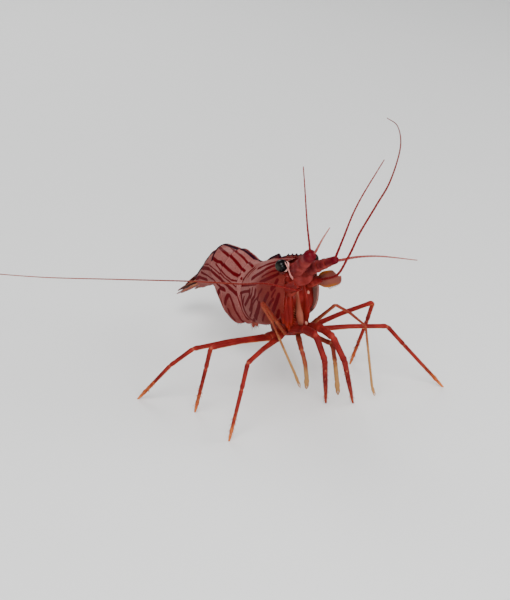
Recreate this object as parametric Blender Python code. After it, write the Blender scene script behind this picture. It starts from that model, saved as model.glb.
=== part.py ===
# Striped cleaner shrimp, life size, standing with its tail half bent under.
# Metres, +Z up. The head faces -Y and the animal's left side is +X.
# Every length below is a share of the carapace length unless its name says otherwise.
import math

import bmesh
import bpy
from mathutils import Vector

for old in list(bpy.data.objects):
    bpy.data.objects.remove(old, do_unlink=True)

CARAPACE = 0.0115                   # orbit to hind edge of the carapace, in metres
CUT = 0.0001 / CARAPACE             # width of the thin cut that parts two neighbours
BODY_PITCH = math.radians(25.5)     # the carapace tips up towards the head
BACK_HEIGHT = 1.56                  # hind edge of the carapace above the floor
FLOOR_CENTRE = Vector((-0.0743, 0.5025, 0.0))     # middle of the whole model's outline on the floor

CARAPACE_DEPTH = 0.79               # back line to lower edge
CARAPACE_WIDTH = 0.60
ROSTRUM_LENGTH = 0.52
EYE_RADIUS = 0.08
EYE_SPREAD = 0.22                   # eye centre from the middle line
THIN_RADIUS = 0.023                 # slimmest rod, just over half a millimetre thick
BLADE = 0.046                       # thinnest plate, just over half a millimetre

SHELL = (0.45, 0.12, 0.10, 1.0)
FACE_RED = (0.35, 0.015, 0.015, 1.0)
LEG_RED = (0.50, 0.06, 0.02, 1.0)
CLAW_ORANGE = (0.62, 0.22, 0.06, 1.0)
FEELER_RED = (0.50, 0.10, 0.06, 1.0)
EYE_BLACK = (0.015, 0.012, 0.015, 1.0)


# ---------------------------------------------------------------- places

def body(along, up, out):
    """A point given in the carapace's own axes: towards the head, up from the back, to the left."""
    c, s = math.cos(BODY_PITCH), math.sin(BODY_PITCH)
    return Vector((out, -along * c + up * s, BACK_HEIGHT + along * s + up * c))


def mix(a, b, t):
    return a + (b - a) * t


def profile(stops, t):
    """Straight runs between (place, value) stops."""
    for (t0, v0), (t1, v1) in zip(stops, stops[1:]):
        if t <= t1:
            return mix(v0, v1, max(0.0, (t - t0) / (t1 - t0)))
    return stops[-1][1]


def smooth(points, per_span):
    """A Catmull-Rom curve through the points."""
    pts = [Vector(p) for p in points]
    pts = [2 * pts[0] - pts[1]] + pts + [2 * pts[-1] - pts[-2]]
    out = []
    for a, b, c, d in zip(pts, pts[1:], pts[2:], pts[3:]):
        for i in range(per_span):
            t = i / per_span
            out.append(0.5 * (2 * b + (c - a) * t + (2 * a - 5 * b + 4 * c - d) * t ** 2
                              + (3 * b - a - 3 * c + d) * t ** 3))
    return out + [pts[-2]]


# ---------------------------------------------------------------- meshes

def add_object(name, verts, faces, colour, roughness=0.35):
    mesh = bpy.data.meshes.new(name)
    mesh.from_pydata([(v - FLOOR_CENTRE) * CARAPACE for v in verts], [], faces)
    bm = bmesh.new()
    bm.from_mesh(mesh)
    bmesh.ops.recalc_face_normals(bm, faces=bm.faces)
    bm.to_mesh(mesh)
    bm.free()
    obj = bpy.data.objects.new(name, mesh)
    bpy.context.scene.collection.objects.link(obj)
    mat = bpy.data.materials.new(name)
    mat.use_nodes = True
    shader = mat.node_tree.nodes["Principled BSDF"]
    shader.inputs["Base Color"].default_value = colour
    shader.inputs["Roughness"].default_value = roughness
    mat.diffuse_color = colour
    mesh.materials.append(mat)
    return obj


def loft(name, rings, colour, first_middle=None, last_middle=None, roughness=0.35):
    """Skin over a row of rings; each end is closed over its middle point."""
    n = len(rings[0])
    verts = [p for ring in rings for p in ring]
    faces = []
    for r in range(len(rings) - 1):
        for i in range(n):
            j = (i + 1) % n
            faces.append((r * n + i, r * n + j, (r + 1) * n + j, (r + 1) * n + i))
    caps = ((0, first_middle, rings[0]), ((len(rings) - 1) * n, last_middle, rings[-1]))
    for start, middle, ring in caps:
        verts.append(middle or sum(ring, Vector()) / n)
        for i in range(n):
            faces.append((start + i, start + (i + 1) % n, len(verts) - 1))
    return add_object(name, verts, faces, colour, roughness)


def join_solid(body_obj, extra):
    """Grow the extra solid onto the body, so the two are one piece."""
    mod = body_obj.modifiers.new("grown_on", "BOOLEAN")
    mod.operation = "UNION"
    mod.solver = "EXACT"
    mod.object = extra
    extra.hide_render = True
    extra.display_type = "WIRE"


# ---------------------------------------------------------------- rods: legs and feelers

def rod_rings(path, radii, sides, last_plane=None):
    """Rings along a bent path, mitred at every bend; the last may lie in a given plane."""
    directions = [(b - a).normalized() for a, b in zip(path, path[1:])]
    d = directions[0]
    e1 = d.orthogonal().normalized()
    rings = []
    for k, centre in enumerate(path):
        before = directions[max(k - 1, 0)]
        after = directions[min(k, len(directions) - 1)]
        plane = (before + after).normalized()
        if last_plane is not None and k == len(path) - 1:
            plane = last_plane
        e2 = before.cross(e1).normalized()
        ring = []
        for i in range(sides):
            a = math.tau * i / sides
            off = (e1 * math.cos(a) + e2 * math.sin(a)) * radii[k]
            ring.append(centre + off - before * (off.dot(plane) / before.dot(plane)))
        rings.append(ring)
        e1 = before.rotation_difference(after) @ e1
    return rings


def rods(names, path, radii, cuts, colour, sides=8, last_plane=None):
    """One bent rod, parted by thin cuts at the stations listed in cuts."""
    path = [Vector(p) for p in path]
    rings = rod_rings(path, radii, sides, last_plane)
    ends = [0] + list(cuts) + [len(path) - 1]
    made = []
    for name, a, b in zip(names, ends, ends[1:]):
        run = [list(r) for r in rings[a:b + 1]]
        if a > 0:
            back_off(run, 0, path[a + 1] - path[a])
        if b < len(path) - 1:
            back_off(run, -1, path[b - 1] - path[b])
        made.append(loft(name, run, colour))
    return made


def back_off(run, end, inward):
    shift = inward.normalized() * CUT * 0.75
    run[end] = [p + shift for p in run[end]]


def taper(path, stops):
    return [profile(stops, k / (len(path) - 1)) for k in range(len(path))]


# ---------------------------------------------------------------- hoops: carapace and abdomen

HOOP_POINTS = 24


def hoop_point(a, half_width, depth, waist, vault=0.0):
    """Across and up of one point of a section: round above, slab-sided below, hollow underneath."""
    s, c = math.sin(a), math.cos(a)
    side = math.copysign(1.0, s)
    if c >= -1e-6:
        return half_width * s, -waist * depth * (1 - c)
    across = half_width * abs(s) ** 0.30
    up = -depth * (waist + (1 - waist) * abs(c) ** 0.8)
    roof = max(0.0, 1 - (across / (0.88 * half_width)) ** 2)
    return side * across, up + vault * depth * roof


def hoop_angles():
    return [math.tau * i / HOOP_POINTS for i in range(HOOP_POINTS)]


def shrink(ring, middle, factor, shift):
    return [middle + (p - middle) * factor + shift for p in ring]


BACK_LINE = ((-0.35, -0.05), (0.0, 0.0), (0.25, 0.025), (0.45, 0.04), (0.65, 0.02), (1.0, 0.0), (1.1, -0.005))


def carapace_top(along):
    return profile(BACK_LINE, along)


def carapace_point(along, a):
    depth = carapace_top(along) - profile(((-0.35, -0.76), (0.0, -0.83), (0.55, -0.80), (0.75, -0.74),
                                           (1.0, -0.62)), along)
    half = CARAPACE_WIDTH / 2 * profile(((-0.3, 0.90), (0.0, 0.95), (0.35, 1.0), (0.7, 1.0),
                                         (0.9, 0.90), (1.05, 0.76)), along)
    across, down = hoop_point(a, half, depth, 0.52)
    return body(along, carapace_top(along) + down, across)


def carapace_rear(a):
    q = (1 - math.cos(a)) / 2
    return profile(((0, 0), (0.07, -0.08), (0.2, -0.26), (0.42, -0.34), (0.6, -0.36), (0.8, -0.33),
                    (1, -0.08)), q)


def carapace_front(a):
    q = (1 - math.cos(a)) / 2
    turn = min(a, math.tau - a)
    orbit = 0.19 * math.exp(-((turn - 0.70) / 0.32) ** 2)
    cheek = 0.24 * max(0.0, (q - 0.45) / 0.55) ** 1.5
    return 1.0 - orbit - cheek


def carapace_ring(t):
    return [carapace_point(mix(carapace_rear(a), carapace_front(a), t), a) for a in hoop_angles()]


REAR_MIDDLE = body(-0.20, -0.40, 0.0)
FRONT_MIDDLE = body(0.60, -0.48, 0.0)


def make_carapace():
    rows = 8
    rings = [carapace_ring(k / rows) for k in range(rows + 1)]
    shell = loft("carapace", rings, SHELL, REAR_MIDDLE, FRONT_MIDDLE)
    join_solid(shell, make_rostrum())


def make_rostrum():
    """Crest and beak as one toothed plate; its rear half is sunk in the carapace."""
    tip = 1.0 + ROSTRUM_LENGTH
    line = [(0.10, -0.03), (0.25, 0.038), (0.52, 0.072), (0.57, 0.030)]
    for tooth in (0.79, 0.91, 1.02, 1.14, 1.27, 1.39):
        top = profile(((0.6, 0.047), (0.91, 0.045), (1.02, 0.032), (tip, -0.025)), tooth)
        line += [(tooth - 0.06, top - 0.022), (tooth + 0.01, top)]
    line += [(tip, -0.05), (1.36, -0.085), (1.28, -0.075), (1.2, -0.105), (1.05, -0.10), (0.88, -0.12),
             (0.7, -0.12)]
    half = BLADE / 2
    n = len(line)
    verts = [body(x, z, side * half) for side in (-1, 1) for x, z in line]
    faces = [tuple(range(n)), tuple(range(2 * n - 1, n - 1, -1))]
    faces += [(i, (i + 1) % n, n + (i + 1) % n, n + i) for i in range(n)]
    return add_object("rostrum_blank", verts, faces, SHELL)


# ---------------------------------------------------------------- abdomen

ABDOMEN_SWING = math.radians(7)     # the abdomen swings to the animal's right
# back length, slope of the back in degrees, then at the hind edge: half width, depth, hollow underneath
SOMITES = (
    (0.22, -14, 0.280, 0.90, 0.12),
    (0.33, 4, 0.285, 0.94, 0.12),
    (0.42, -10, 0.270, 0.82, 0.16),
    (0.24, -36, 0.230, 0.58, 0.20),
    (0.24, -50, 0.185, 0.45, 0.20),
    (0.43, -50, 0.125, 0.24, 0.00),
)
TELSON_LENGTH = 0.53
TELSON_SLOPE = -42


def abdomen_place(back, height, out):
    """A point behind the carapace: distance back, height over its hind edge, and to the left."""
    c, s = math.cos(ABDOMEN_SWING), math.sin(ABDOMEN_SWING)
    return Vector((out * c - back * s, back * c + out * s, BACK_HEIGHT + height))


def abdomen_joints():
    """Back line at each hind edge: distance back, height, slope."""
    back, height = 0.0, 0.0
    slopes = [row[1] for row in SOMITES] + [TELSON_SLOPE]
    joints = []
    for k, (length, slope, *_) in enumerate(SOMITES):
        back += length * math.cos(math.radians(slope))
        height += length * math.sin(math.radians(slope))
        joints.append((back, height, math.radians((slopes[k] + slopes[k + 1]) / 2)))
    return joints


def abdomen_point(joint, a, half, depth, vault, sweep):
    back, height, slope = joint
    across, down = hoop_point(a, half, depth, 0.45, vault)
    slip = sweep * math.sin(math.pi * min(1.0, -down / depth)) if depth else 0.0
    return abdomen_place(back + slip * math.cos(slope) + down * math.sin(-slope),
                         height + slip * math.sin(slope) + down * math.cos(slope), across)


HIND_SWEEP = (0.05, 0.10, 0.04, 0.0, 0.0, 0.0)  # how far each hind edge bows backwards on the flank


def abdomen_ring(k):
    """The hind edge of somite k (0 to 5)."""
    _, _, half, depth, vault = SOMITES[k]
    joint = abdomen_joints()[k]
    return [abdomen_point(joint, a, half, depth, vault, HIND_SWEEP[k]) for a in hoop_angles()]


def abdomen_middle(k):
    _, _, _, depth, _ = SOMITES[k]
    back, height, slope = abdomen_joints()[k]
    down = -0.45 * depth
    return abdomen_place(back + down * math.sin(-slope), height + down * math.cos(slope), 0.0)


def make_somite(k):
    name = "abdomen_%d" % (k + 1)
    if k == 0:
        middle = REAR_MIDDLE
        start = shrink(carapace_ring(0.0), middle, 0.95, Vector())
        step = -(body(1, 0, 0) - body(0, 0, 0))
    else:
        middle = abdomen_middle(k - 1)
        start = shrink(abdomen_ring(k - 1), middle, 0.955, Vector())
        slope = abdomen_joints()[k - 1][2]
        step = abdomen_place(math.cos(slope), math.sin(slope), 0.0) - abdomen_place(0.0, 0.0, 0.0)
    start = [p + step * CUT for p in start]
    end = abdomen_ring(k)
    rings = [start]
    for t in (0.33, 0.7):
        ring = []
        for p, q, a in zip(start, end, hoop_angles()):
            down = Vector((0, 0, -1)) * 0.05 * math.sin(math.pi * t) * max(0.0, -math.cos(a)) ** 2
            grow = 1 + (0.03 if k else 0.0) * math.sin(math.pi * t)
            centre = mix(middle, abdomen_middle(k), t)
            ring.append(centre + (mix(p, q, t) - centre) * grow + (down if k < 5 else Vector()))
        rings.append(ring)
    rings.append(end)
    return loft(name, rings, SHELL, middle + step * CUT, abdomen_middle(k))


def under_belly(k, share, out):
    """Well back on somite k, at a share of its depth below the back."""
    spots = []
    for j in (k - 1, k):
        if j < 0:
            spots.append(body(-0.12, -share * CARAPACE_DEPTH, out))
            continue
        back, height, slope = abdomen_joints()[j]
        drop = share * SOMITES[j][3]
        spots.append(abdomen_place(back + drop * math.sin(slope), height - drop * math.cos(slope), out))
    return mix(spots[0], spots[1], (0.65, 0.65, 0.65, 0.62, 0.80)[k])


def make_swimmeret(k, side):
    """A paddle that hangs under somite k, its root sunk in the belly."""
    root = under_belly(k, 0.78, side * 0.09)
    tip = under_belly(k, 1.07 if k < 3 else 0.90, side * 0.11)
    across = abdomen_place(0, 0, 1) - abdomen_place(0, 0, 0)
    face = (tip - root).cross(across)
    rings = blade_rings(root, tip, face, ((0.0, 0.08), (0.5, 0.12), (0.85, 0.10), (1.0, 0.04)), BLADE,
                        (0.0, 0.4, 0.8, 1.0))
    return loft("swimmeret_blank_%d_%d" % (k + 1, side), rings, FEELER_RED)


def make_abdomen():
    for k in range(6):
        somite = make_somite(k)
        for side in (-1, 1):
            if k < 5:
                join_solid(somite, make_swimmeret(k, side))


# ---------------------------------------------------------------- tail fan

def blade_rings(root, tip, face, widths, thickness, stations):
    """Rings of a flat plate: widths are (share of length, full width) stops."""
    axis = (tip - root).normalized()
    across = axis.cross(face).normalized()
    normal = across.cross(axis)
    rings = []
    for t in stations:
        w = profile(widths, t) / 2
        h = thickness / 2
        c = mix(root, tip, t)
        edge = max(w - h, 0.3 * w)
        rings.append([c + across * x + normal * z for x, z in
                      ((-edge, h), (edge, h), (w, 0.25 * h), (w, -0.25 * h), (edge, -h), (-edge, -h),
                       (-w, -0.25 * h), (-w, 0.25 * h))])
    return rings


def tail_place(along, up, out):
    """A point in the tail fan's axes, from the hind edge of the last somite."""
    back, height, _ = abdomen_joints()[5]
    s = math.radians(TELSON_SLOPE)
    return abdomen_place(back + along * math.cos(s) - up * math.sin(s),
                         height + along * math.sin(s) + up * math.cos(s), out)


def make_tail_fan():
    face = tail_place(0, 1, 0) - tail_place(0, 0, 0)
    stations = (0.0, 0.25, 0.5, 0.75, 0.92, 1.0)
    rings = blade_rings(tail_place(0.03, -0.04, 0), tail_place(TELSON_LENGTH, -0.005, 0), face,
                        ((0.0, 0.21), (0.5, 0.17), (1.0, 0.07)), 0.055, stations)
    loft("telson", rings, SHELL)
    leaf = ((0.0, 0.07), (0.25, 0.13), (0.6, 0.17), (0.85, 0.14), (1.0, 0.05))
    for side, word in ((1, "left"), (-1, "right")):
        for part, start, end, reach, drop, lift in (("inner", 0.085, 0.10, 0.51, -0.100, -0.058),
                                                    ("outer", 0.10, 0.16, 0.47, -0.157, -0.112)):
            root = tail_place(0.04, drop, side * start)
            tip = tail_place(reach, lift, side * end)
            rings = blade_rings(root, tip, face, leaf, BLADE, stations)
            loft("uropod_%s_%s" % (word, part), rings, FACE_RED)


# ---------------------------------------------------------------- head

def make_eyes():
    for side, word in ((1, "left"), (-1, "right")):
        centre = body(0.99, -0.078, side * EYE_SPREAD)
        root = body(0.965, -0.14, side * 0.045)
        axis = (centre - root).normalized()
        rows = 8
        rings = []
        for k in range(1, rows):
            a = math.pi * k / rows
            ring_centre = centre + axis * EYE_RADIUS * math.cos(a)
            e1 = axis.orthogonal().normalized()
            e2 = axis.cross(e1)
            rings.append([ring_centre + (e1 * math.cos(b) + e2 * math.sin(b)) * EYE_RADIUS * math.sin(a)
                          for b in [math.tau * i / 12 for i in range(12)]])
        loft("eye_" + word, rings, EYE_BLACK, centre + axis * EYE_RADIUS, centre - axis * EYE_RADIUS, 0.1)
        stop = centre - axis * (EYE_RADIUS + CUT)
        path = [root, mix(root, stop, 0.5), stop]
        rods(["eyestalk_" + word], path, [0.045, 0.045, 0.06], (), FACE_RED)


def make_face():
    """The plate between eyes and mouth that carries both pairs of feelers."""
    rings = []
    for along, size in ((0.85, 0.85), (0.92, 1.0), (0.98, 0.95), (1.02, 0.7)):
        rings.append([body(along, -0.27 + 0.085 * size * math.cos(a), 0.15 * size * math.sin(a))
                      for a in [math.tau * i / 16 for i in range(16)]])
    loft("face", rings, FACE_RED)


def make_mouthparts():
    for side, word in ((1, "left"), (-1, "right")):
        path = [body(0.91, -0.37, side * 0.100), body(0.89, -0.48, side * 0.100),
                body(0.87, -0.66, side * 0.098), body(0.84, -0.81, side * 0.098)]
        rods(["mouthparts_" + word], path, [0.055, 0.082, 0.087, 0.065], (), FACE_RED, sides=10)


def make_breastplate():
    rings = []
    for along, half, top, low in ((0.06, 0.08, -0.87, -0.95), (0.2, 0.125, -0.86, -1.00),
                                  (0.5, 0.125, -0.85, -1.00), (0.68, 0.07, -0.84, -0.97)):
        rings.append([body(along, up, out) for out, up in
                      ((-half, top), (half, top), (half, low + 0.03), (0.6 * half, low),
                       (-0.6 * half, low), (-half, low + 0.03))])
    loft("breastplate", rings, LEG_RED)


# ---------------------------------------------------------------- feelers

def make_antennules():
    # The right stalk is held upright and swells at its end.
    for word, root, tip, swell in (("left", body(1.06, -0.20, 0.075), Vector((0.20, -1.51, 2.17)), 1.0),
                                   ("right", body(1.06, -0.20, -0.075), Vector((-0.113, -1.445, 2.27)), 1.4)):
        path = [mix(root, tip, t) for t in (0.0, 0.35, 0.4, 0.65, 0.7, 1.0)]
        radii = [0.062, 0.062, 0.054, 0.056, 0.050 * swell, 0.050 * swell]
        rods(["antennule_base_" + word], path, radii, (), FEELER_RED)
    whips = {
        "antennule_left_inner": ((0.200, -1.530, 2.235), (0.33, -1.49, 2.42), (0.47, -1.45, 2.67),
                                 (0.61, -1.45, 2.91), (0.88, -1.45, 3.29)),
        "antennule_left_outer": ((0.250, -1.545, 2.165), (0.52, -1.52, 2.12), (0.91, -1.45, 2.02),
                                 (1.44, -1.45, 1.86)),
        "antennule_right_inner": ((-0.125, -1.47, 2.32), (-0.16, -1.45, 2.65), (-0.20, -1.45, 3.10),
                                  (-0.21, -1.42, 3.38)),
        "antennule_right_outer": ((-0.07, -1.485, 2.30), (0.05, -1.46, 2.43), (0.15, -1.45, 2.55)),
    }
    for name, points in whips.items():
        path = smooth(points, 4)
        rods([name], path, taper(path, ((0, 0.030), (0.3, 0.026), (1, THIN_RADIUS))), (), FEELER_RED, sides=6)


def make_antennae():
    for side, word in ((1, "left"), (-1, "right")):
        base_end = Vector((0.16, -1.40, 1.82)) if side > 0 else Vector((-0.17, -1.36, 1.80))
        root = body(1.0, -0.45, side * 0.14)
        path = [root, mix(root, base_end, 0.5), base_end]
        rods(["antenna_base_" + word], path, [0.06, 0.055, 0.045], (), FACE_RED)
    whips = {
        "left": ((0.155, -1.44, 1.84), (0.11, -1.56, 1.96), (0.20, -1.63, 2.13), (0.56, -1.48, 2.42),
                 (0.92, -1.25, 2.62), (1.33, -0.92, 2.77), (2.0, -0.1, 2.85), (2.6, 0.9, 2.75),
                 (3.0, 1.8, 2.55)),
        "right": ((-0.185, -1.40, 1.815), (-0.32, -1.53, 1.85), (-0.62, -1.27, 1.90), (-0.80, -0.93, 1.79),
                  (-1.20, -0.33, 1.66), (-1.85, 0.69, 1.40), (-2.50, 1.72, 1.14), (-3.15, 2.75, 0.93)),
    }
    for word, points in whips.items():
        path = smooth(points, 4)
        names = ["antenna_%s_%d" % (word, k) for k in (1, 2, 3)]
        radii = taper(path, ((0, 0.036), (0.2, 0.030), (0.6, THIN_RADIUS), (1, THIN_RADIUS)))
        rods(names, path, radii, (10, 19), FEELER_RED, sides=6)


def make_scales():
    """Leaf-shaped plate outside each antenna, rolled up on edge."""
    leaf = ((0.0, 0.08), (0.2, 0.18), (0.6, 0.20), (0.85, 0.17), (1.0, 0.09))
    for side, word in ((1, "left"), (-1, "right")):
        root = body(1.01, -0.355, side * 0.24)
        tip = body(1.43, -0.34, side * 0.29)
        face = body(0, 0.1, side) - body(0, 0, 0)
        loft("antenna_scale_" + word, blade_rings(root, tip, face, leaf, BLADE,
                                                  (0.0, 0.2, 0.45, 0.7, 0.9, 1.0)), SHELL)


# ---------------------------------------------------------------- legs

def leg(name, hip, bends, knee, colour, radii, on_floor=True):
    """Coxa to tip; bends are the points after the hip, and knee counts which of them parts the leg."""
    path = [hip] + [Vector(b) for b in bends]
    plane = Vector((0, 0, 1)) if on_floor else None
    rods([name + "_upper", name + "_lower"], path, radii, (knee,), colour, last_plane=plane)


def make_walking_legs():
    thick = (0.045, 0.046, 0.036, 0.031, 0.030, 0.029, THIN_RADIUS)
    stance = {
        # hip along the breastplate, knee, wrist, foot
        "leg3_right": (0.46, (-0.99, -1.52, 1.02), (-1.08, -1.53, 0.68), (-1.263, -1.54, 0)),
        "leg4_right": (0.33, (-1.24, -1.00, 1.04), (-1.275, -0.92, 0.72), (-1.347, -0.716, 0)),
        "leg5_right": (0.20, (-1.26, -0.51, 0.80), (-1.53, -0.38, 0.56), (-1.872, -0.078, 0)),
        "leg3_left": (0.46, (1.21, -1.19, 0.86), (1.40, -1.32, 0.60), (1.854, -1.623, 0)),
        "leg4_left": (0.33, (1.22, -0.81, 1.04), (1.19, -0.73, 0.74), (1.078, -0.517, 0)),
        "leg5_left": (0.20, (0.72, 0.28, 0.94), (0.80, 0.42, 0.62), (0.95, 0.62, 0)),
    }
    for name, (along, knee, wrist, foot) in stance.items():
        side = 1 if name.endswith("left") else -1
        hip = body(along, -0.94, side * 0.165)
        knee = Vector(knee)
        out = (knee - hip)
        basis = hip + Vector((out.x, out.y, 0)).normalized() * 0.10 - Vector((0, 0, 0.03))
        mid = mix(basis, knee, 0.5) + Vector((0, 0, 0.02))
        last = Vector(foot)
        hand = mix(Vector(wrist), last, 0.85)
        leg(name, hip, [basis, mid, knee, wrist, hand, foot], 3, LEG_RED, thick)


def make_mouth_legs():
    """Third maxillipeds, held out in front and set down like a pair of legs."""
    thick = (0.050, 0.050, 0.046, 0.044, 0.040, 0.034, THIN_RADIUS)
    stance = {
        "mouth_leg_right": ((-0.129, -1.661, 1.264), (0.03, -1.62, 0.85), (0.263, -1.281, 0)),
        "mouth_leg_left": ((0.084, -1.711, 1.209), (0.26, -1.72, 0.83), (0.576, -1.44, 0)),
    }
    for name, (knee, shin, foot) in stance.items():
        side = 1 if name.endswith("left") else -1
        hip = body(0.80, -0.91, side * 0.11)
        knee = Vector(knee)
        mid = mix(hip, knee, 0.5) + Vector((0, 0, 0.04))
        leg(name, hip, [mid, mix(mid, knee, 0.6), knee, shin, mix(Vector(shin), Vector(foot), 0.6), foot], 3,
            FACE_RED, thick)


def make_claw_legs():
    thick = (0.034, 0.034, 0.030, 0.028, 0.028, 0.032, 0.036, THIN_RADIUS)
    stance = {
        # hip along and to the left; then two points of the knee, wrist, palm, tip
        "claw1_right": ((0.74, -0.065), ((-0.19, -1.42, 0.95), (-0.18, -1.44, 0.90), (-0.10, -1.36, 0.70),
                                         (0.03, -1.17, 0.40), (0.13, -1.00, 0.10))),
        "claw1_left": ((0.74, 0.065), ((0.18, -1.50, 1.00), (0.20, -1.52, 0.95), (0.25, -1.50, 0.72),
                                       (0.32, -1.44, 0.42), (0.42, -1.32, 0.10))),
        "claw2_right": ((0.58, -0.16), ((-0.52, -0.99, 1.50), (-0.56, -1.05, 1.50), (-0.42, -1.05, 1.25),
                                        (-0.18, -0.98, 0.75), (0.07, -0.94, 0.10))),
        "claw2_left": ((0.58, 0.16), ((0.28, -1.42, 1.48), (0.45, -1.49, 1.36), (0.69, -1.49, 1.12),
                                      (0.74, -1.49, 0.47), (0.83, -1.56, 0.10))),
    }
    for name, ((along, out), (knee, turn, wrist, palm, tip)) in stance.items():
        first = name.startswith("claw1")
        hip = body(along, -0.99 if first else -0.94, out)
        mid = mix(hip, Vector(knee), 0.4)
        if first:
            mid.z -= 0.03
        radii = thick if first else [min(r, 0.028) for r in thick]
        leg(name, hip, [mid, mix(mid, Vector(knee), 0.6), knee, turn, wrist, palm, tip], 3, CLAW_ORANGE,
            radii, on_floor=False)


# ---------------------------------------------------------------- build

make_carapace()
make_abdomen()
make_tail_fan()
make_eyes()
make_face()
make_mouthparts()
make_breastplate()
make_antennules()
make_antennae()
make_scales()
make_walking_legs()
make_mouth_legs()
make_claw_legs()
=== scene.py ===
import math

import bpy
import numpy as np
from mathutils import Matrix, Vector


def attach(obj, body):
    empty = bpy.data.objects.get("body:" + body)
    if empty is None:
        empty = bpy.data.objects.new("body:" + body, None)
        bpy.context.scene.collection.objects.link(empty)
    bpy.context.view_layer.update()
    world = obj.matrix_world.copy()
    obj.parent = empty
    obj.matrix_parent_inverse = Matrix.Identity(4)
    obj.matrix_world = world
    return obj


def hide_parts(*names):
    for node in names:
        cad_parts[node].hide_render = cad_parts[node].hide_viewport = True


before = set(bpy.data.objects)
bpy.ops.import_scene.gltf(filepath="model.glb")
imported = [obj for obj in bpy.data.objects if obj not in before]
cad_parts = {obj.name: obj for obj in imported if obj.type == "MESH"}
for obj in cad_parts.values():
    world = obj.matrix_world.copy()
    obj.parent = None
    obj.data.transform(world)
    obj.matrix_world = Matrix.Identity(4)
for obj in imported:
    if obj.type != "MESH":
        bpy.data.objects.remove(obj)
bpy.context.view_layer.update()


# ------------------------------------------------------------------ carapace
# The shield over head and thorax: one thin, glassy plate of chitin, open below and in front, with a
# toothed crest and beak along its middle. It grows as one piece and is held to the body under its roof.

# metres from the eye socket to the hind edge; the other sizes are shares of it, up to the studio
CARAPACE = 0.0115
FLOOR_CENTRE = np.array((-0.0743, 0.5025, 0.0))
BODY_PITCH = math.radians(25.5)
BACK_HEIGHT = 1.56
SHELL_WALL = 0.016
SHELL_EDGE = math.radians(158)          # how far round from the back the side wall reaches
GIRTH_TO_EDGE = 1.007                   # the same, measured along the wall
CARAPACE_WIDTH = 0.60
CHEST_DEPTH = 0.87
CHEST_WAIST = 0.52                      # share of its depth at which the side wall is widest
ORBIT = 0.70                            # angle from the back at which the eye socket is cut
ROSTRUM_TIP = 1.52
CREST_TEETH = (0.79, 0.91, 1.02, 1.14, 1.27, 1.39)
BEAK_TEETH = (1.22, 1.33, 1.42)
CREST_START = 0.08


def body(along, up, out):
    """Points given in the carapace's axes: towards the head, up from the back, and to the left."""
    c, s = math.cos(BODY_PITCH), math.sin(BODY_PITCH)
    return np.stack(np.broadcast_arrays(out, -along * c + up * s, BACK_HEIGHT + along * s + up * c), axis=-1)


def curve_through(stops, t):
    """A smooth curve through (place, value) stops."""
    x, y = np.array(stops, float).T
    slope = np.gradient(y, x)
    t = np.clip(t, x[0], x[-1])
    k = np.clip(np.searchsorted(x, t, side="right") - 1, 0, len(x) - 2)
    h = x[k + 1] - x[k]
    s = (t - x[k]) / h
    rise = (1 + 2 * s) * (1 - s) ** 2 * y[k] + s * s * (3 - 2 * s) * y[k + 1]
    return rise + h * s * (1 - s) * ((1 - s) * slope[k] - s * slope[k + 1])


def bump(t, middle, width):
    return np.exp(-((t - middle) / width) ** 2)


def rise(value, start, width):
    """0 below the start, then a straight rise to 1 over the width."""
    return np.clip((value - start) / width, 0, 1)


def hoop(a, half, depth, waist, vault=0.0):
    """Across and up of a section of shell: round above, slab-sided below, hollow underneath."""
    s, c = np.sin(a), np.cos(a)
    wall = np.abs(s) ** 0.30
    roof = np.maximum(0.0, 1 - (wall / 0.88) ** 2)
    below = -depth * (waist + (1 - waist) * np.abs(c) ** 0.8) + vault * depth * roof
    return (np.where(c >= 0, half * s, half * wall * np.sign(s)),
            np.where(c >= 0, -waist * depth * (1 - c), below))


def even_angles(count, edge, half, depth, waist):
    """Angles round a section that lie equally far apart along its outline."""
    fine = np.linspace(-edge, edge, 4001)
    across, up = hoop(fine, half, depth, waist)
    girth = np.concatenate(([0], np.cumsum(np.hypot(np.diff(across), np.diff(up)))))
    return np.interp(np.linspace(0, girth[-1], count), girth, fine)


def carapace_top(along):
    return curve_through(((-0.35, -0.05), (0.0, -0.002), (0.25, 0.008), (0.45, 0.018), (0.65, 0.008),
                          (1.0, -0.008), (1.1, -0.012)), along)


def carapace_size(along):
    low = curve_through(((-0.35, -0.76), (0.0, -0.83), (0.55, -0.80), (0.75, -0.74), (1.0, -0.62)), along)
    half = curve_through(((-0.3, 0.90), (0.0, 0.95), (0.35, 1.0), (0.7, 1.0), (0.9, 0.90), (1.05, 0.76)),
                         along)
    return CARAPACE_WIDTH / 2 * half, carapace_top(along) - low


def carapace_point(along, a):
    half, depth = carapace_size(along)
    across, down = hoop(a, half, depth, CHEST_WAIST)
    return body(along, carapace_top(along) + down, across)


def carapace_rear(a):
    return curve_through(((0, 0), (0.07, -0.08), (0.2, -0.26), (0.42, -0.35), (0.6, -0.38), (0.8, -0.37),
                          (0.93, -0.30), (1, -0.12)), (1 - np.cos(a)) / 2)


def carapace_front(a):
    q, turn = (1 - np.cos(a)) / 2, np.abs(a)
    orbit = 0.19 * bump(turn, ORBIT, 0.32)
    cheek = 0.24 * np.maximum(0.0, (q - 0.45) / 0.55) ** 1.5
    spine = 0.075 * np.exp(-np.abs(turn - 1.22) / 0.035) + 0.03 * np.exp(-np.abs(turn - 2.30) / 0.03)
    return 1.0 - orbit - cheek + spine


def grid_faces(rows, columns, closed=False, first=0):
    """Quads over a grid of points; a closed grid joins its last column to its first."""
    i, j = np.meshgrid(np.arange(rows - 1), np.arange(columns if closed else columns - 1), indexing="ij")
    k = (j + 1) % columns
    quads = np.stack((i * columns + j, (i + 1) * columns + j, (i + 1) * columns + k, i * columns + k),
                     axis=-1)
    return (quads.reshape(-1, 4) + first).tolist()


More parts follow.
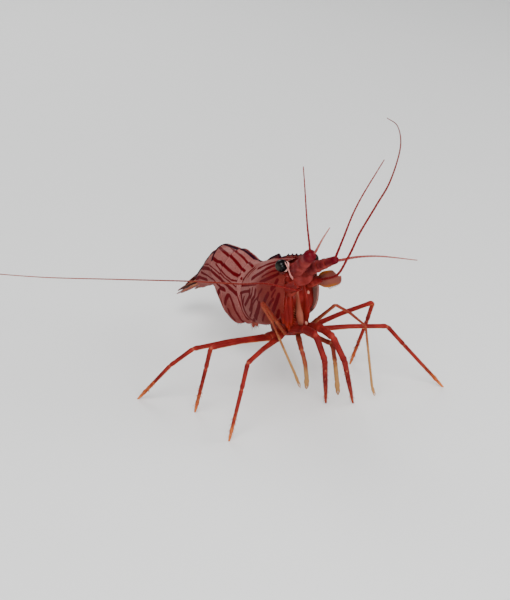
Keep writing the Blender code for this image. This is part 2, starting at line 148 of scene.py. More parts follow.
def grid_normals(points):
    normals = np.cross(np.gradient(points, axis=0), np.gradient(points, axis=1))
    return normals / np.maximum(np.linalg.norm(normals, axis=2, keepdims=True), 1e-9)


def shell(outer, wall, marks):
    """A thin plate with a rounded rim, from an open grid of its outer points."""
    rows, columns, _ = outer.shape
    inner = outer - grid_normals(outer) * wall
    edge = [(0, j) for j in range(columns)] + [(i, columns - 1) for i in range(1, rows)]
    edge += [(rows - 1, j) for j in range(columns - 2, -1, -1)] + [(i, 0) for i in range(rows - 2, 0, -1)]
    rim = []
    for i, j in edge:
        inside = outer[min(max(i, 1), rows - 2), min(max(j, 1), columns - 2)]
        outwards = outer[i, j] - inside
        rim.append((outer[i, j] + inner[i, j]) / 2 + outwards / np.linalg.norm(outwards) * wall * 0.5)
    count = rows * columns
    ring = [i * columns + j for i, j in edge]
    faces = grid_faces(rows, columns)
    faces += [face[::-1] for face in grid_faces(rows, columns, first=count)]
    for n in range(len(edge)):
        m = (n + 1) % len(edge)
        faces.append((ring[n], ring[m], 2 * count + m, 2 * count + n))
        faces.append((2 * count + n, 2 * count + m, count + ring[m], count + ring[n]))
    points = np.concatenate((outer.reshape(-1, 3), inner.reshape(-1, 3), np.array(rim)))
    spread = {}
    for mark, values in marks.items():
        flat = values.reshape(-1)
        spread[mark] = np.concatenate((flat, flat, flat[ring]))
    spread["inner"] = np.concatenate((np.zeros(count), np.ones(count), np.full(len(ring), 0.5)))
    return points, faces, spread


def place_piece(name, mesh, nodes):
    """Puts a finished mesh in the scene as the piece that stands for CAD nodes."""
    mesh.shade_smooth()
    piece = bpy.data.objects.new(name, mesh)
    bpy.context.scene.collection.objects.link(piece)
    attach(piece, "root")
    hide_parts(*nodes)


def make_piece(name, parts, material, nodes):
    """Joins closed surfaces, given in carapace lengths, into one object that stands for CAD nodes."""
    points, faces, marks, count = [], [], {}, sum(len(part[0]) for part in parts)
    start = 0
    for part_points, part_faces, part_marks in parts:
        faces += [tuple(v + start for v in face) for face in part_faces]
        for mark, values in part_marks.items():
            marks.setdefault(mark, np.zeros(count, np.float32))[start:start + len(part_points)] = values
        points.append(part_points)
        start += len(part_points)
    mesh = bpy.data.meshes.new(name)
    mesh.from_pydata(((np.concatenate(points) - FLOOR_CENTRE) * CARAPACE).tolist(), [], faces)
    for mark, values in marks.items():
        mesh.attributes.new(mark, "FLOAT", "POINT").data.foreach_set("value", values)
    mesh.materials.append(material)
    place_piece(name, mesh, nodes)


def crest_top(along):
    """Upper edge of crest and beak: one long first tooth, then saw teeth that lean forward."""
    ridge = np.interp(along, (CREST_START, 0.25, 0.52, 0.535, 0.545), (-0.012, 0.036, 0.070, 0.066, 0.022))
    top = curve_through(((0.5, 0.016), (0.75, 0.026), (1.05, 0.012), (1.25, -0.010), (ROSTRUM_TIP, -0.045)),
                        along)
    for tooth in CREST_TEETH:
        reach = np.clip((along - tooth + 0.085) / 0.09, 0, 1)
        behind = np.exp(-np.maximum(along - tooth - 0.005, 0) / 0.006)
        top = top + 0.024 * np.where(along < tooth + 0.005, reach ** 1.8, behind)
    return np.where(along < 0.54, np.maximum(ridge, -0.012), np.maximum(ridge * (along < 0.55), top))


def crest_foot(along):
    foot = curve_through(((CREST_START, -0.03), (0.4, -0.02), (0.7, -0.09), (1.0, -0.10), (1.2, -0.085),
                          (ROSTRUM_TIP, -0.060)), along)
    for tooth in BEAK_TEETH:
        reach = np.clip((along - tooth + 0.08) / 0.09, 0, 1)
        ahead = np.exp(-(along - tooth - 0.01) / 0.006)
        foot = foot - 0.018 * np.where(along < tooth + 0.01, reach ** 1.4, ahead)
    return foot


def rostrum():
    """The toothed blade: thickest along a rib at mid height, sharp above and below."""
    along = np.linspace(CREST_START, ROSTRUM_TIP, 240)
    top, foot = crest_top(along), crest_foot(along)
    closing = np.clip((ROSTRUM_TIP - along) / 0.05, 0.04, 1) ** 0.5
    closing = closing * np.clip((along - CREST_START) / 0.1, 0.1, 1)
    around = np.linspace(0, math.tau, 20, endpoint=False)
    height = (1 - np.cos(around)) / 2
    side = 0.023 * np.sign(np.sin(around)) * np.abs(np.sin(around)) ** 1.3
    up = foot[:, None] + (top - foot)[:, None] * height
    grid = body(along[:, None], up, -side * closing[:, None])
    dark = np.interp(along, (0.0, 0.54, 0.56, 1.5), (0.030, 0.030, 0.016, 0.012))
    stripe = np.abs(up - (top * 0.55 + foot * 0.45)[:, None]) - 0.014
    return closed_tube(grid, {"line": top[:, None] - up - dark[:, None], "stripe": stripe, "rim": 0.05,
                              "flush": 0.9 + 0 * up})


def closed_tube(grid, marks=None):
    """Closes a grid of rings with a middle point at each end."""
    rows, columns, _ = grid.shape
    points = np.concatenate((grid.reshape(-1, 3), [grid[0].mean(axis=0)], [grid[-1].mean(axis=0)]))
    faces = grid_faces(rows, columns, closed=True)
    last = (rows - 1) * columns
    for j in range(columns):
        k = (j + 1) % columns
        faces.append((j, k, rows * columns))
        faces.append((last + k, last + j, rows * columns + 1))
    spread = {}
    for mark, values in (marks or {}).items():
        flat = np.broadcast_to(values, (rows, columns)).reshape(-1)
        spread[mark] = np.concatenate((flat, flat[:1], flat[-1:]))
    return points, faces, spread


def stroke_distance(x, y, strokes):
    """Distance to the nearest painted stroke, less half its width, in a shell's own flat coordinates."""
    nearest = np.full(np.broadcast(x, y).shape, 9.0)
    for half, *stops in strokes:
        for (x0, y0), (x1, y1) in zip(stops, stops[1:]):
            dx, dy = x1 - x0, y1 - y0
            share = np.clip(((x - x0) * dx + (y - y0) * dy) / (dx * dx + dy * dy), 0, 1)
            nearest = np.minimum(nearest, np.hypot(x - x0 - dx * share, y - y0 - dy * share) - half)
    return nearest


def add_node(tree, kind, values=None, **settings):
    """One shader node. Values are its sockets: a number, a colour, or another node's output."""
    node = tree.nodes.new(kind)
    for name, value in settings.items():
        setattr(node, name, value)
    for name, value in (values or {}).items():
        if isinstance(value, bpy.types.NodeSocket):
            tree.links.new(value, node.inputs[name])
        else:
            node.inputs[name].default_value = value
    return node


def ramp(tree, value, low, high, to_low=0.0, to_high=1.0):
    """A smooth step of a value from one level to another."""
    levels = {"Value": value, "From Min": low, "From Max": high, "To Min": to_low, "To Max": to_high}
    return add_node(tree, "ShaderNodeMapRange", levels, interpolation_type="SMOOTHSTEP").outputs["Result"]


def blend(tree, share, a, b):
    """One colour over another."""
    return add_node(tree, "ShaderNodeMix", {0: share, 6: a, 7: b}, data_type="RGBA").outputs[2]


def maths(tree, how, a, b=0.0):
    return add_node(tree, "ShaderNodeMath", {0: a, 1: b}, operation=how).outputs[0]


def add(tree, a, b, share=1.0):
    """The first value plus a share of the second."""
    return maths(tree, "ADD", a, maths(tree, "MULTIPLY", b, share))


def noise(tree, scale, detail):
    place = add_node(tree, "ShaderNodeTexCoord").outputs["Object"]
    return add_node(tree, "ShaderNodeTexNoise",
                    {"Vector": place, "Scale": scale, "Detail": detail}).outputs["Fac"]


def mark(tree, name):
    """A value written on the mesh."""
    return add_node(tree, "ShaderNodeAttribute", attribute_name=name).outputs["Fac"]


def new_finish(name, colours, numbers=()):
    """An empty node group that takes named colours and numbers, and gives a colour, a gloss and a relief."""
    tree = bpy.data.node_groups.new(name, "ShaderNodeTree")
    sockets = [(colour, "INPUT", "Color") for colour in colours]
    sockets += [(number, "INPUT", "Float") for number in numbers]
    sockets += [("Color", "OUTPUT", "Color"), ("Roughness", "OUTPUT", "Float"), ("Height", "OUTPUT", "Float")]
    for socket, ends, kind in sockets:
        tree.interface.new_socket(socket, in_out=ends, socket_type="NodeSocket" + kind)
    return tree, tree.nodes.new("NodeGroupInput").outputs, tree.nodes.new("NodeGroupOutput").inputs


def finish_outputs(tree, made, colour, roughness, height):
    tree.links.new(colour, made["Color"])
    tree.links.new(roughness, made["Roughness"])
    tree.links.new(height, made["Height"])


def cell_distance(tree, scale):
    """Distance from the middle of the nearest cell of a fine random mosaic."""
    place = add_node(tree, "ShaderNodeTexCoord").outputs["Object"]
    return add_node(tree, "ShaderNodeTexVoronoi", {"Vector": place, "Scale": scale}).outputs["Distance"]


def shell_finish():
    """Living shell: painted strokes and lines, a rim with a painted highlight band, tiny red pigment dots,
    soft mottling, and a pale inner face painted as if lit through the thin shell.
    """
    tree, given, made = new_finish("shell_finish", ("Ground", "Flush", "Stripe", "Line", "Rim", "Backlit Lining"))
    wander = maths(tree, "MULTIPLY", maths(tree, "SUBTRACT", noise(tree, 900, 3), 0.5), 0.014)
    patchy = noise(tree, 320, 4)
    flush = ramp(tree, add(tree, mark(tree, "flush"), patchy, 0.3), 0.1, 1.15)
    colour = blend(tree, flush, given["Ground"], given["Flush"])
    colour = blend(tree, ramp(tree, patchy, 0.35, 0.70, 0.0, 0.35), colour, given["Flush"])
    colour = blend(tree, ramp(tree, cell_distance(tree, 5200), 0.16, 0.32, 0.75, 0.0), colour,
                   given["Stripe"])
    inside = mark(tree, "rim")
    # painted highlight: a pale band a little inside the shell's edges, where light catches the margin
    rim_highlight = maths(tree, "MULTIPLY", ramp(tree, inside, 0.008, 0.016),
                 ramp(tree, inside, 0.022, 0.034, 0.4, 0.0))
    colour = blend(tree, rim_highlight, colour, given["Rim"])
    stripe = ramp(tree, add(tree, mark(tree, "stripe"), wander), -0.001, 0.009, 1.0, 0.0)
    colour = blend(tree, stripe, colour, given["Stripe"])
    line = ramp(tree, add(tree, mark(tree, "line"), wander), -0.002, 0.008, 1.0, 0.0)
    line = maths(tree, "MAXIMUM", line, ramp(tree, inside, 0.002, 0.009, 0.5, 0.0))
    colour = blend(tree, line, colour, given["Line"])
    # painted light: the inner face is painted pale, standing in for light that shines through the thin shell
    # from behind
    backlit_lining = blend(tree, ramp(tree, patchy, 0.4, 0.8, 0.0, 0.5), given["Backlit Lining"], given["Rim"])
    colour = blend(tree, ramp(tree, mark(tree, "inner"), 0.6, 0.9), colour, backlit_lining)
    grain = noise(tree, 7000, 3)
    pits = add(tree, maths(tree, "MULTIPLY", grain, 0.5), patchy, 1.5)
    relief = maths(tree, "SUBTRACT", pits, maths(tree, "MULTIPLY", stripe, 0.25))
    finish_outputs(tree, made, colour, ramp(tree, grain, 0.3, 0.7, 0.34, 0.52), relief)
    return tree


def paint(name, finish, values, relief=0.00002, **sockets):
    """A material with a finish on it: the colours go into the finish, the plain numbers into the shader."""
    material = bpy.data.materials.new(name)
    material.use_nodes = True
    tree = material.node_tree
    shader = tree.nodes["Principled BSDF"]
    for socket, value in sockets.items():
        shader.inputs[socket.replace("_", " ")].default_value = value
    painted = add_node(tree, "ShaderNodeGroup", values, node_tree=finish).outputs
    bump_node = add_node(tree, "ShaderNodeBump", {"Distance": relief, "Height": painted["Height"]})
    tree.links.new(painted["Color"], shader.inputs["Base Color"])
    tree.links.new(painted["Roughness"], shader.inputs["Roughness"])
    tree.links.new(bump_node.outputs["Normal"], shader.inputs["Normal"])
    return material, tree, shader, painted["Color"]


CRIMSON = (0.085, 0.0008, 0.003, 1)
DARK_LINE = (0.016, 0.001, 0.006, 1)
FLESH_PINK = (0.250, 0.096, 0.086, 1)
BLOOD_BROWN = (0.15, 0.020, 0.015, 1)
# painted highlight colour of the band along the shell's edges
PALE_RIM_HIGHLIGHT = (0.38, 0.10, 0.095, 1)
# painted light: pale colour of the shell's inner face, standing in for light shining through the shell
PAINTED_BACKLIGHT_LINING = (0.80, 0.46, 0.38, 1)
# half width, then (along, distance round from the back) of each painted stroke, the same on both sides
CARAPACE_STRIPES = (
    (0.017, (0.01, 0.17), (-0.11, 0.23), (-0.21, 0.29), (-0.28, 0.36)),
    (0.008, (0.09, 0.19), (0.0, 0.23), (-0.09, 0.30)),
    (0.050, (0.50, 0.0), (1.10, 0.0)),
    (0.017, (0.90, 0.10), (0.67, 0.13), (0.51, 0.16), (0.35, 0.18), (0.18, 0.20)),
    (0.023, (0.08, 0.34), (0.23, 0.30), (0.42, 0.27), (0.54, 0.23), (0.65, 0.20), (0.78, 0.19)),
    (0.011, (0.43, 0.35), (0.55, 0.32), (0.70, 0.29), (0.82, 0.29)),
    (0.024, (0.38, 0.42), (0.55, 0.40), (0.71, 0.38), (0.87, 0.36)),
    (0.018, (-0.30, 0.41), (-0.04, 0.42), (0.25, 0.42)),
    (0.017, (-0.33, 0.53), (-0.15, 0.51), (-0.01, 0.51)),
    (0.020, (0.03, 0.49), (-0.01, 0.58), (-0.13, 0.65), (-0.24, 0.72)),
    (0.012, (-0.20, 0.58), (-0.25, 0.63), (-0.30, 0.70)),
    (0.020, (0.23, 0.50), (0.17, 0.58), (0.04, 0.64), (-0.03, 0.72), (-0.12, 0.79)),
    (0.013, (0.12, 0.47), (0.09, 0.54), (0.01, 0.60)),
    (0.012, (0.28, 0.60), (0.14, 0.64), (0.03, 0.70), (-0.07, 0.81), (-0.20, 0.90)),
    (0.036, (0.28, 0.69), (0.18, 0.77), (-0.01, 0.89)),
    (0.022, (-0.30, 0.53), (-0.31, 0.63), (-0.32, 0.73), (-0.31, 0.83), (-0.27, 0.93), (-0.17, 0.975),
     (-0.07, 0.92)),
    (0.030, (0.62, 0.60), (0.53, 0.64), (0.46, 0.68)),
    (0.032, (0.87, 0.46), (0.82, 0.52), (0.73, 0.55)),
    (0.018, (0.72, 0.70), (0.65, 0.72), (0.57, 0.75)),
    (0.034, (0.86, 0.69), (0.79, 0.76), (0.72, 0.80), (0.64, 0.84)),
    (0.014, (0.81, 0.59), (0.74, 0.63), (0.69, 0.66)),
    (0.024, (0.76, 0.90), (0.71, 0.93), (0.66, 0.95)),
    (0.014, (0.43, 0.81), (0.31, 0.86), (0.19, 0.93)),
    (0.014, (0.45, 0.51), (0.33, 0.56), (0.24, 0.64)),
)

BACK_LINE = ((0.030, (-0.02, 0.0), (0.60, 0.0)),)
ROWS, COLUMNS = 151, 281

shell_paint = paint("striped_shell", shell_finish(),
                    {"Ground": FLESH_PINK, "Flush": BLOOD_BROWN, "Stripe": CRIMSON, "Line": DARK_LINE,
                     "Rim": PALE_RIM_HIGHLIGHT, "Backlit Lining": PAINTED_BACKLIGHT_LINING},
                    Subsurface_Weight=0.03, Subsurface_Radius=(0.0003, 0.0001, 0.0001), Subsurface_Scale=1.0,
                    Specular_IOR_Level=0.0, Coat_Weight=0.08, Coat_Roughness=0.12)[0]

a = even_angles(COLUMNS, SHELL_EDGE, CARAPACE_WIDTH / 2, CHEST_DEPTH, CHEST_WAIST)
rear, front = carapace_rear(a), carapace_front(a)
along = rear + (front - rear) * np.linspace(0, 1, ROWS)[:, None]
roundabout = np.abs(np.linspace(-GIRTH_TO_EDGE, GIRTH_TO_EDGE, COLUMNS)) + 0 * along
shield_marks = {
    "stripe": stroke_distance(along, roundabout, CARAPACE_STRIPES),
    "line": stroke_distance(along, roundabout, BACK_LINE),
    "rim": np.minimum(np.minimum(along - rear, front - along + 0.035), GIRTH_TO_EDGE - roundabout),
    "flush": (0.25 * rise(roundabout, 0.2, 0.3) + 0.25 * rise(roundabout, 0.6, 0.3)
              + 1.1 * rise(along, 0.15, 0.45) * rise(roundabout, 0.20, 0.22) + 0.5 * rise(along, 0.55, 0.2)),
}
make_piece("carapace_shell", [shell(carapace_point(along, a), SHELL_WALL, shield_marks), rostrum()],
           shell_paint, ["carapace"])


# ------------------------------------------------------------------ tail plates
# Six rings of the tail, each a thin arched plate of chitin that slides under the one before it. The hind
# edge of each stands proud; the second plate's side flaps lie over both neighbours, as in all true shrimps.

TAIL_SWING = math.radians(7)
TAIL_WAIST = 0.45
PLATE_WALL = 0.012
# back length, slope of the back in degrees, then at the hind edge: half width, depth, hollow underneath
SOMITES = (
    (0.22, -14, 0.280, 0.90, 0.12),
    (0.33, 4, 0.285, 0.94, 0.12),
    (0.42, -10, 0.270, 0.82, 0.16),
    (0.24, -36, 0.230, 0.58, 0.20),
    (0.24, -50, 0.185, 0.45, 0.20),
    (0.43, -50, 0.125, 0.24, 0.00),
)
TELSON_LENGTH = 0.53
TELSON_SLOPE = -42
HIND_SWEEP = (0.05, 0.10, 0.04, 0.0, 0.0, 0.0)
PLATE_LAP = (0.10, 0.13, 0.12, 0.16, 0.16, 0.10)      # share of each plate hidden under the one before
FLAP_DROP = (0.05, 0.09, 0.09, 0.07, 0.05, 0.0)       # how far the side flap hangs below the joints
FLAP_SPREAD = (0.00, 0.12, 0.04, 0.00, 0.00, 0.0)     # how far the flap widens over its neighbours
# how much slimmer than its joints the tail runs, by the number of plates passed
PLATE_SLIMMING = ((0, 0.03), (1, 0.03), (1.5, 0.01), (2, 0), (3, 0), (3.01, 0.07), (4, 0.05), (4.01, 0.04),
                  (5, 0))


def tail_place(back, height, out):
    """Points behind the carapace: distance back, height over its hind edge, and to the left."""
    c, s = math.cos(TAIL_SWING), math.sin(TAIL_SWING)
    return np.stack(np.broadcast_arrays(out * c - back * s, back * c + out * s, BACK_HEIGHT + height),
                    axis=-1)


def tail_joints():
    back, height = 0.0, 0.0
    slopes = [row[1] for row in SOMITES] + [TELSON_SLOPE]
    joints = []
    for k, (length, slope, *_) in enumerate(SOMITES):
        back += length * math.cos(math.radians(slope))
        height += length * math.sin(math.radians(slope))
        joints.append((back, height, math.radians((slopes[k] + slopes[k + 1]) / 2)))
    return joints


def tail_ring(k, a):
    """Hind edge of plate k (0 to 5) and the middle of that section."""
    _, _, half, depth, vault = SOMITES[k]
    back, height, slope = tail_joints()[k]
    across, down = hoop(a, half, depth, TAIL_WAIST, vault)
    slip = HIND_SWEEP[k] * np.sin(math.pi * np.clip(-down / depth, 0, 1))
    ring = tail_place(back + slip * math.cos(slope) - down * math.sin(slope),
                      height + slip * math.sin(slope) + down * math.cos(slope), across)
    core = TAIL_WAIST * depth
    middle = tail_place(back + core * math.sin(slope), height - core * math.cos(slope), 0.0)
    return ring, middle


def tail_point(k, t, a, grow=1.0):
    """The skin of segment k: t runs from its front joint to its hind edge, a round it from the back."""
    if k == 0:
        middle = body(-0.20, -0.40, 0.0)
        start = middle + (carapace_point(carapace_rear(a), a) - middle) * 0.95
    else:
        ring, middle = tail_ring(k - 1, a)
        start = middle + (ring - middle) * 0.955
    end, end_middle = tail_ring(k, a)
    t = np.asarray(t)[..., None]
    centre = middle + (end_middle - middle) * t
    swell = 1 + 0.03 * np.sin(math.pi * np.clip(t, 0, 1))
    point = centre + (start + (end - start) * t - centre) * swell * grow
    low = np.clip((np.abs(a) - 1.9) / 0.86, 0, 1)[..., None]
    hang = FLAP_DROP[k] * np.sin(math.pi * np.clip(t, 0, 1)) ** 0.7 * low ** 1.5
    stretch = (end_middle - middle) * FLAP_SPREAD[k] * 3.0 * (t - 0.5) * low ** 1.5
    return point + stretch - np.array((0, 0, 1)) * hang


# half width, then (distance back from the carapace, distance round from the back line)
TAIL_STRIPES = (
    (0.014, (0.83, 0.01), (0.75, 0.02), (0.51, 0.08), (0.36, 0.08), (0.20, 0.09), (0.03, 0.13)),
    (0.017, (0.92, 0.10), (0.79, 0.13), (0.62, 0.16), (0.47, 0.18), (0.36, 0.19), (0.25, 0.20), (0.13, 0.23)),
    (0.020, (0.94, 0.27), (0.78, 0.30), (0.67, 0.29), (0.54, 0.33), (0.42, 0.34), (0.32, 0.33), (0.20, 0.29)),
    (0.009, (0.79, 0.34), (0.66, 0.38), (0.53, 0.42), (0.43, 0.44), (0.33, 0.43), (0.25, 0.38)),
    (0.022, (1.65, 0.10), (1.39, 0.27), (1.08, 0.42), (0.78, 0.48), (0.62, 0.51), (0.47, 0.55), (0.20, 0.55)),
    (0.007, (1.37, 0.22), (0.95, 0.39), (0.71, 0.43), (0.46, 0.48), (0.34, 0.47), (0.22, 0.46)),
    (0.013, (1.60, 0.21), (1.43, 0.36), (1.29, 0.49), (0.90, 0.57), (0.73, 0.61), (0.52, 0.65)),
    (0.030, (0.87, 0.78), (0.81, 0.76), (0.65, 0.70), (0.46, 0.65)),
    (0.019, (0.49, 0.88), (0.45, 0.79), (0.39, 0.69), (0.36, 0.675), (0.34, 0.71), (0.32, 0.76), (0.31, 0.84),
     (0.27, 0.92), (0.25, 1.00)),
    (0.023, (0.36, 0.56), (0.29, 0.56), (0.19, 0.58), (0.12, 0.67), (0.07, 0.75), (0.04, 0.85), (0.03, 0.95)),
    (0.018, (0.44, 0.93), (0.43, 1.00), (0.38, 1.04)),
    (0.013, (0.72, 0.82), (0.66, 0.90), (0.62, 0.98)),
    (0.020, (1.85, 0.18), (1.72, 0.22), (1.61, 0.31), (1.53, 0.37)),
)
# dark lines along the back and round the hind edge of the third plate; here left of the back line is plus
TAIL_LINES = [
    (0.026, (-0.10, 0.02), (0.25, 0.045), (0.45, 0.03), (0.64, 0.0), (0.95, 0.0)),
    (0.016, (0.95, 0.0), (1.95, 0.0)),
    (0.017, (0.955, -0.30), (0.955, 0.30)),
]
for side in (-1, 1):
    TAIL_LINES.append((0.030, (0.98, side * 0.09), (1.20, side * 0.13), (1.39, side * 0.155),
                       (1.57, side * 0.14), (1.95, side * 0.13)))


def tail_plate(k, back_before):
    """Plate k (0 to 5), which starts at a distance behind the carapace."""
    length, _, half, depth, _ = SOMITES[k]
    last = k == len(SOMITES) - 1
    edge = math.radians(179) if last else SHELL_EDGE
    a = even_angles(221 if k < 4 else 121, edge, half, depth, TAIL_WAIST)
    t = np.linspace(-PLATE_LAP[k], 1.0, 61)[:, None]
    visible = np.clip(t, 0, 1)
    tucked = np.clip(-t / PLATE_LAP[k], 0, 1)
    slim = np.interp(k + visible, *zip(*PLATE_SLIMMING))
    grow = 1.0 - slim - 0.05 * tucked + 0.012 * bump(t, 1.0, 0.05) + (0.012 if k == 1 else 0.0) * visible
    outer = tail_point(k, t, a, grow[..., None])
    steps = np.linalg.norm(np.diff(outer, axis=1), axis=2)
    girth = np.concatenate((np.zeros((len(t), 1)), np.cumsum(steps, axis=1)), axis=1)
    girth = girth - girth[:, len(a) // 2, None]
    back = back_before + length * t + 0 * girth
    to_lower_edge = 1.0 + 0 * girth if last else girth[:, -1:] - np.abs(girth)
    marks = {
        "stripe": stroke_distance(back, np.abs(girth), TAIL_STRIPES),
        "line": stroke_distance(back, girth, TAIL_LINES),
        "rim": np.minimum((1 - t) * length + 0 * girth, to_lower_edge),
        "flush": 0.55 * rise(np.abs(girth), 0.60, 0.25) + 0.25 * (k > 3),
    }
    return shell(outer[::-1], PLATE_WALL, {name: values[::-1] for name, values in marks.items()})


back_length = 0.0
for k, somite in enumerate(SOMITES):
    make_piece("tail_plate_%d" % (k + 1), [tail_plate(k, back_length)], shell_paint,
               ["abdomen_%d" % (k + 1)])
    back_length += somite[0]


# ------------------------------------------------------------------ tail fan
# The tail ends in a tapering middle blade, the telson, and two leaf-shaped blades on each side. All are
# thin, stiff plates with a raised rib, hinged on the last tail segment and fringed with fine bristles.

TELSON_WIDTH = ((0, 0.20), (0.5, 0.165), (0.9, 0.085), (1, 0.07))
FAN_BLADE_WIDTH = ((0.0, 0.06), (0.2, 0.12), (0.6, 0.17), (0.85, 0.145), (1.0, 0.10))
# distance out of root and tip, length, and height of root and tip
FAN_BLADES = {"inner": (0.068, 0.10, 0.51, -0.100, -0.058), "outer": (0.080, 0.16, 0.47, -0.157, -0.112)}


def fan_place(along, up, out):
    """Points in the tail fan's axes, from the hind edge of the last segment."""
    back, height, _ = tail_joints()[5]
    s = math.radians(TELSON_SLOPE)
    return tail_place(back + along * math.cos(s) - up * math.sin(s),
                      height + along * math.sin(s) + up * math.cos(s), out)


def leaf_axes(root, tip, face):
    axis = (tip - root) / np.linalg.norm(tip - root)
    across = np.cross(axis, face)
    return axis, across / np.linalg.norm(across)


def leaf(root, tip, face, width, thickness, rib=0.0, rows=60, around=28):
    """A closed leaf-shaped plate: width and thickness are functions of the share of its length."""
    axis, across = leaf_axes(root, tip, face)
    normal = np.cross(across, axis)
    t = np.linspace(0, 1, rows)[:, None]
    b = np.linspace(0, math.tau, around, endpoint=False)
    x = width(t) / 2 * np.sign(np.cos(b)) * np.abs(np.cos(b)) ** 0.8
    z = thickness(t) / 2 * np.sign(np.sin(b)) * np.abs(np.sin(b)) ** 0.7
    z = z + rib * bump(x, 0, 0.012) * np.clip((1 - t) * 6, 0, 1) * (np.sin(b) > 0)
    grid = root + (tip - root) * t[..., None] + across * x[..., None] + normal * z[..., None]
    return closed_tube(grid, {"along": t, "across": x / np.maximum(width(t) / 2, 1e-4)})


def oval(stops, closing):
    """A width that follows the stops and rounds off to nothing at the tip."""
    def width(t):
        past = np.clip(t - 1 + closing, 0, 1) / closing
        return curve_through(stops, t) * np.sqrt(np.clip(1 - past ** 2, 0.0004, 1))
    return width


def bristle_tree():
    """Geometry nodes: a tapering bristle on every point of a mesh, along the way written on that point."""
    tree = bpy.data.node_groups.new("bristle_row", "GeometryNodeTree")
    for socket, ends, kind in (("Roots", "INPUT", "Geometry"), ("Width", "INPUT", "Float"),
                               ("Material", "INPUT", "Material"), ("Bristles", "OUTPUT", "Geometry")):
        tree.interface.new_socket(socket, in_out=ends, socket_type="NodeSocket" + kind)
    given, made = tree.nodes.new("NodeGroupInput").outputs, tree.nodes.new("NodeGroupOutput").inputs
    way = add_node(tree, "GeometryNodeInputNamedAttribute", {"Name": "way"},
                   data_type="FLOAT_VECTOR").outputs[0]
    turn = add_node(tree, "FunctionNodeAlignRotationToVector", {"Vector": way}, axis="Z").outputs[0]
    reach = add_node(tree, "ShaderNodeVectorMath", {0: way}, operation="LENGTH").outputs["Value"]
    size = add_node(tree, "ShaderNodeCombineXYZ", {0: given["Width"], 1: given["Width"], 2: reach}).outputs[0]
    cone = add_node(tree, "GeometryNodeMeshCone", {"Vertices": 5, "Radius Top": 0.15, "Radius Bottom": 0.5,
                                                   "Depth": 1.0}).outputs["Mesh"]
    stood = add_node(tree, "GeometryNodeInstanceOnPoints", {"Points": given["Roots"], "Instance": cone,
                                                            "Rotation": turn, "Scale": size}).outputs[0]
    real = add_node(tree, "GeometryNodeRealizeInstances", {"Geometry": stood}).outputs[0]
    named = add_node(tree, "GeometryNodeSetMaterial",
                     {"Geometry": real, "Material": given["Material"]}).outputs[0]
    tree.links.new(named, made["Bristles"])
    return tree


BRISTLE_TREE = bristle_tree()


def bristles(name, roots, ways, width, material, nodes):
    """Stands a bristle at each root, along its way and as long, and keeps the result as a plain mesh."""
    source = bpy.data.meshes.new(name + "_roots")
    source.from_pydata(((np.asarray(roots) - FLOOR_CENTRE) * CARAPACE).tolist(), [], [])
    ways = (np.asarray(ways) * CARAPACE).astype(np.float32)
    source.attributes.new("way", "FLOAT_VECTOR", "POINT").data.foreach_set("vector", ways.ravel())
    holder = bpy.data.objects.new(name + "_roots", source)
    bpy.context.scene.collection.objects.link(holder)
    modifier = holder.modifiers.new("bristles", "NODES")
    modifier.node_group = BRISTLE_TREE
    sockets = {item.name: item.identifier for item in BRISTLE_TREE.interface.items_tree}
    modifier[sockets["Width"]] = width * CARAPACE
    modifier[sockets["Material"]] = material
    mesh = bpy.data.meshes.new_from_object(holder.evaluated_get(bpy.context.evaluated_depsgraph_get()))
    bpy.data.objects.remove(holder, do_unlink=True)
    place_piece(name, mesh, nodes)


def leaf_fringe(root, tip, face, width, reach, first, count, sides=(-1, 1)):
    """Roots and ways of bristles along the edges of a leaf and round its tip."""
    axis, across = leaf_axes(root, tip, face)
    roots, ways = [], []
    for side in sides:
        for n, t in enumerate(np.linspace(first, 0.985, count)):
            half = float(width(np.array([t]))[0]) / 2
            lean = axis * (0.5 + 0.9 * (t - first) / (1 - first)) + across * side * (1.0 - 0.4 * t)
            roots.append(root + (tip - root) * t + across * side * half * 0.90)
            ways.append(lean / np.linalg.norm(lean) * reach * (0.85 + 0.15 * math.sin(n * 2.4)))
    return roots, ways


def make_telson(material, face):
    """The middle blade, hollowed along its back, with two painted stripes that meet towards the tip."""
    blade = leaf(fan_place(-0.02, -0.04, 0), fan_place(TELSON_LENGTH, -0.005, 0), face,
                 oval(TELSON_WIDTH, 0.05), lambda t: 0.050 - 0.025 * t, rib=-0.006)
    marks = blade[2]
    side, far = np.abs(marks["across"]), marks["along"]
    marks["stripe"] = np.abs(side - 0.52 + 0.2 * far) * 0.08 - 0.010
    marks["line"] = 0.10 * side - 0.006 + 0.05 * far
    marks["rim"] = (1 - side) * 0.07
    marks["flush"] = 0.35 + 0.6 * far
    make_piece("telson_blade", [blade], material, ["telson"])


def make_fan_blades(material, hair, face):
    outline = oval(FAN_BLADE_WIDTH, 0.22)
    for side, word in ((1, "left"), (-1, "right")):
        for part, (start, end, length, low, lift) in FAN_BLADES.items():
            root, tip = fan_place(0.0, low, side * start), fan_place(length, lift, side * end)
            nodes = ["uropod_%s_%s" % (word, part)]
            blade = leaf(root, tip, face, outline, lambda t: 0.034 - 0.014 * t, rib=0.010)
            make_piece("tail_blade_%s_%s" % (word, part), [blade], material, nodes)
            roots, ways = leaf_fringe(root, tip, face, outline, reach=0.075, first=0.30, count=80)
            bristles("tail_fringe_%s_%s" % (word, part), roots, ways, 0.007, hair, nodes)


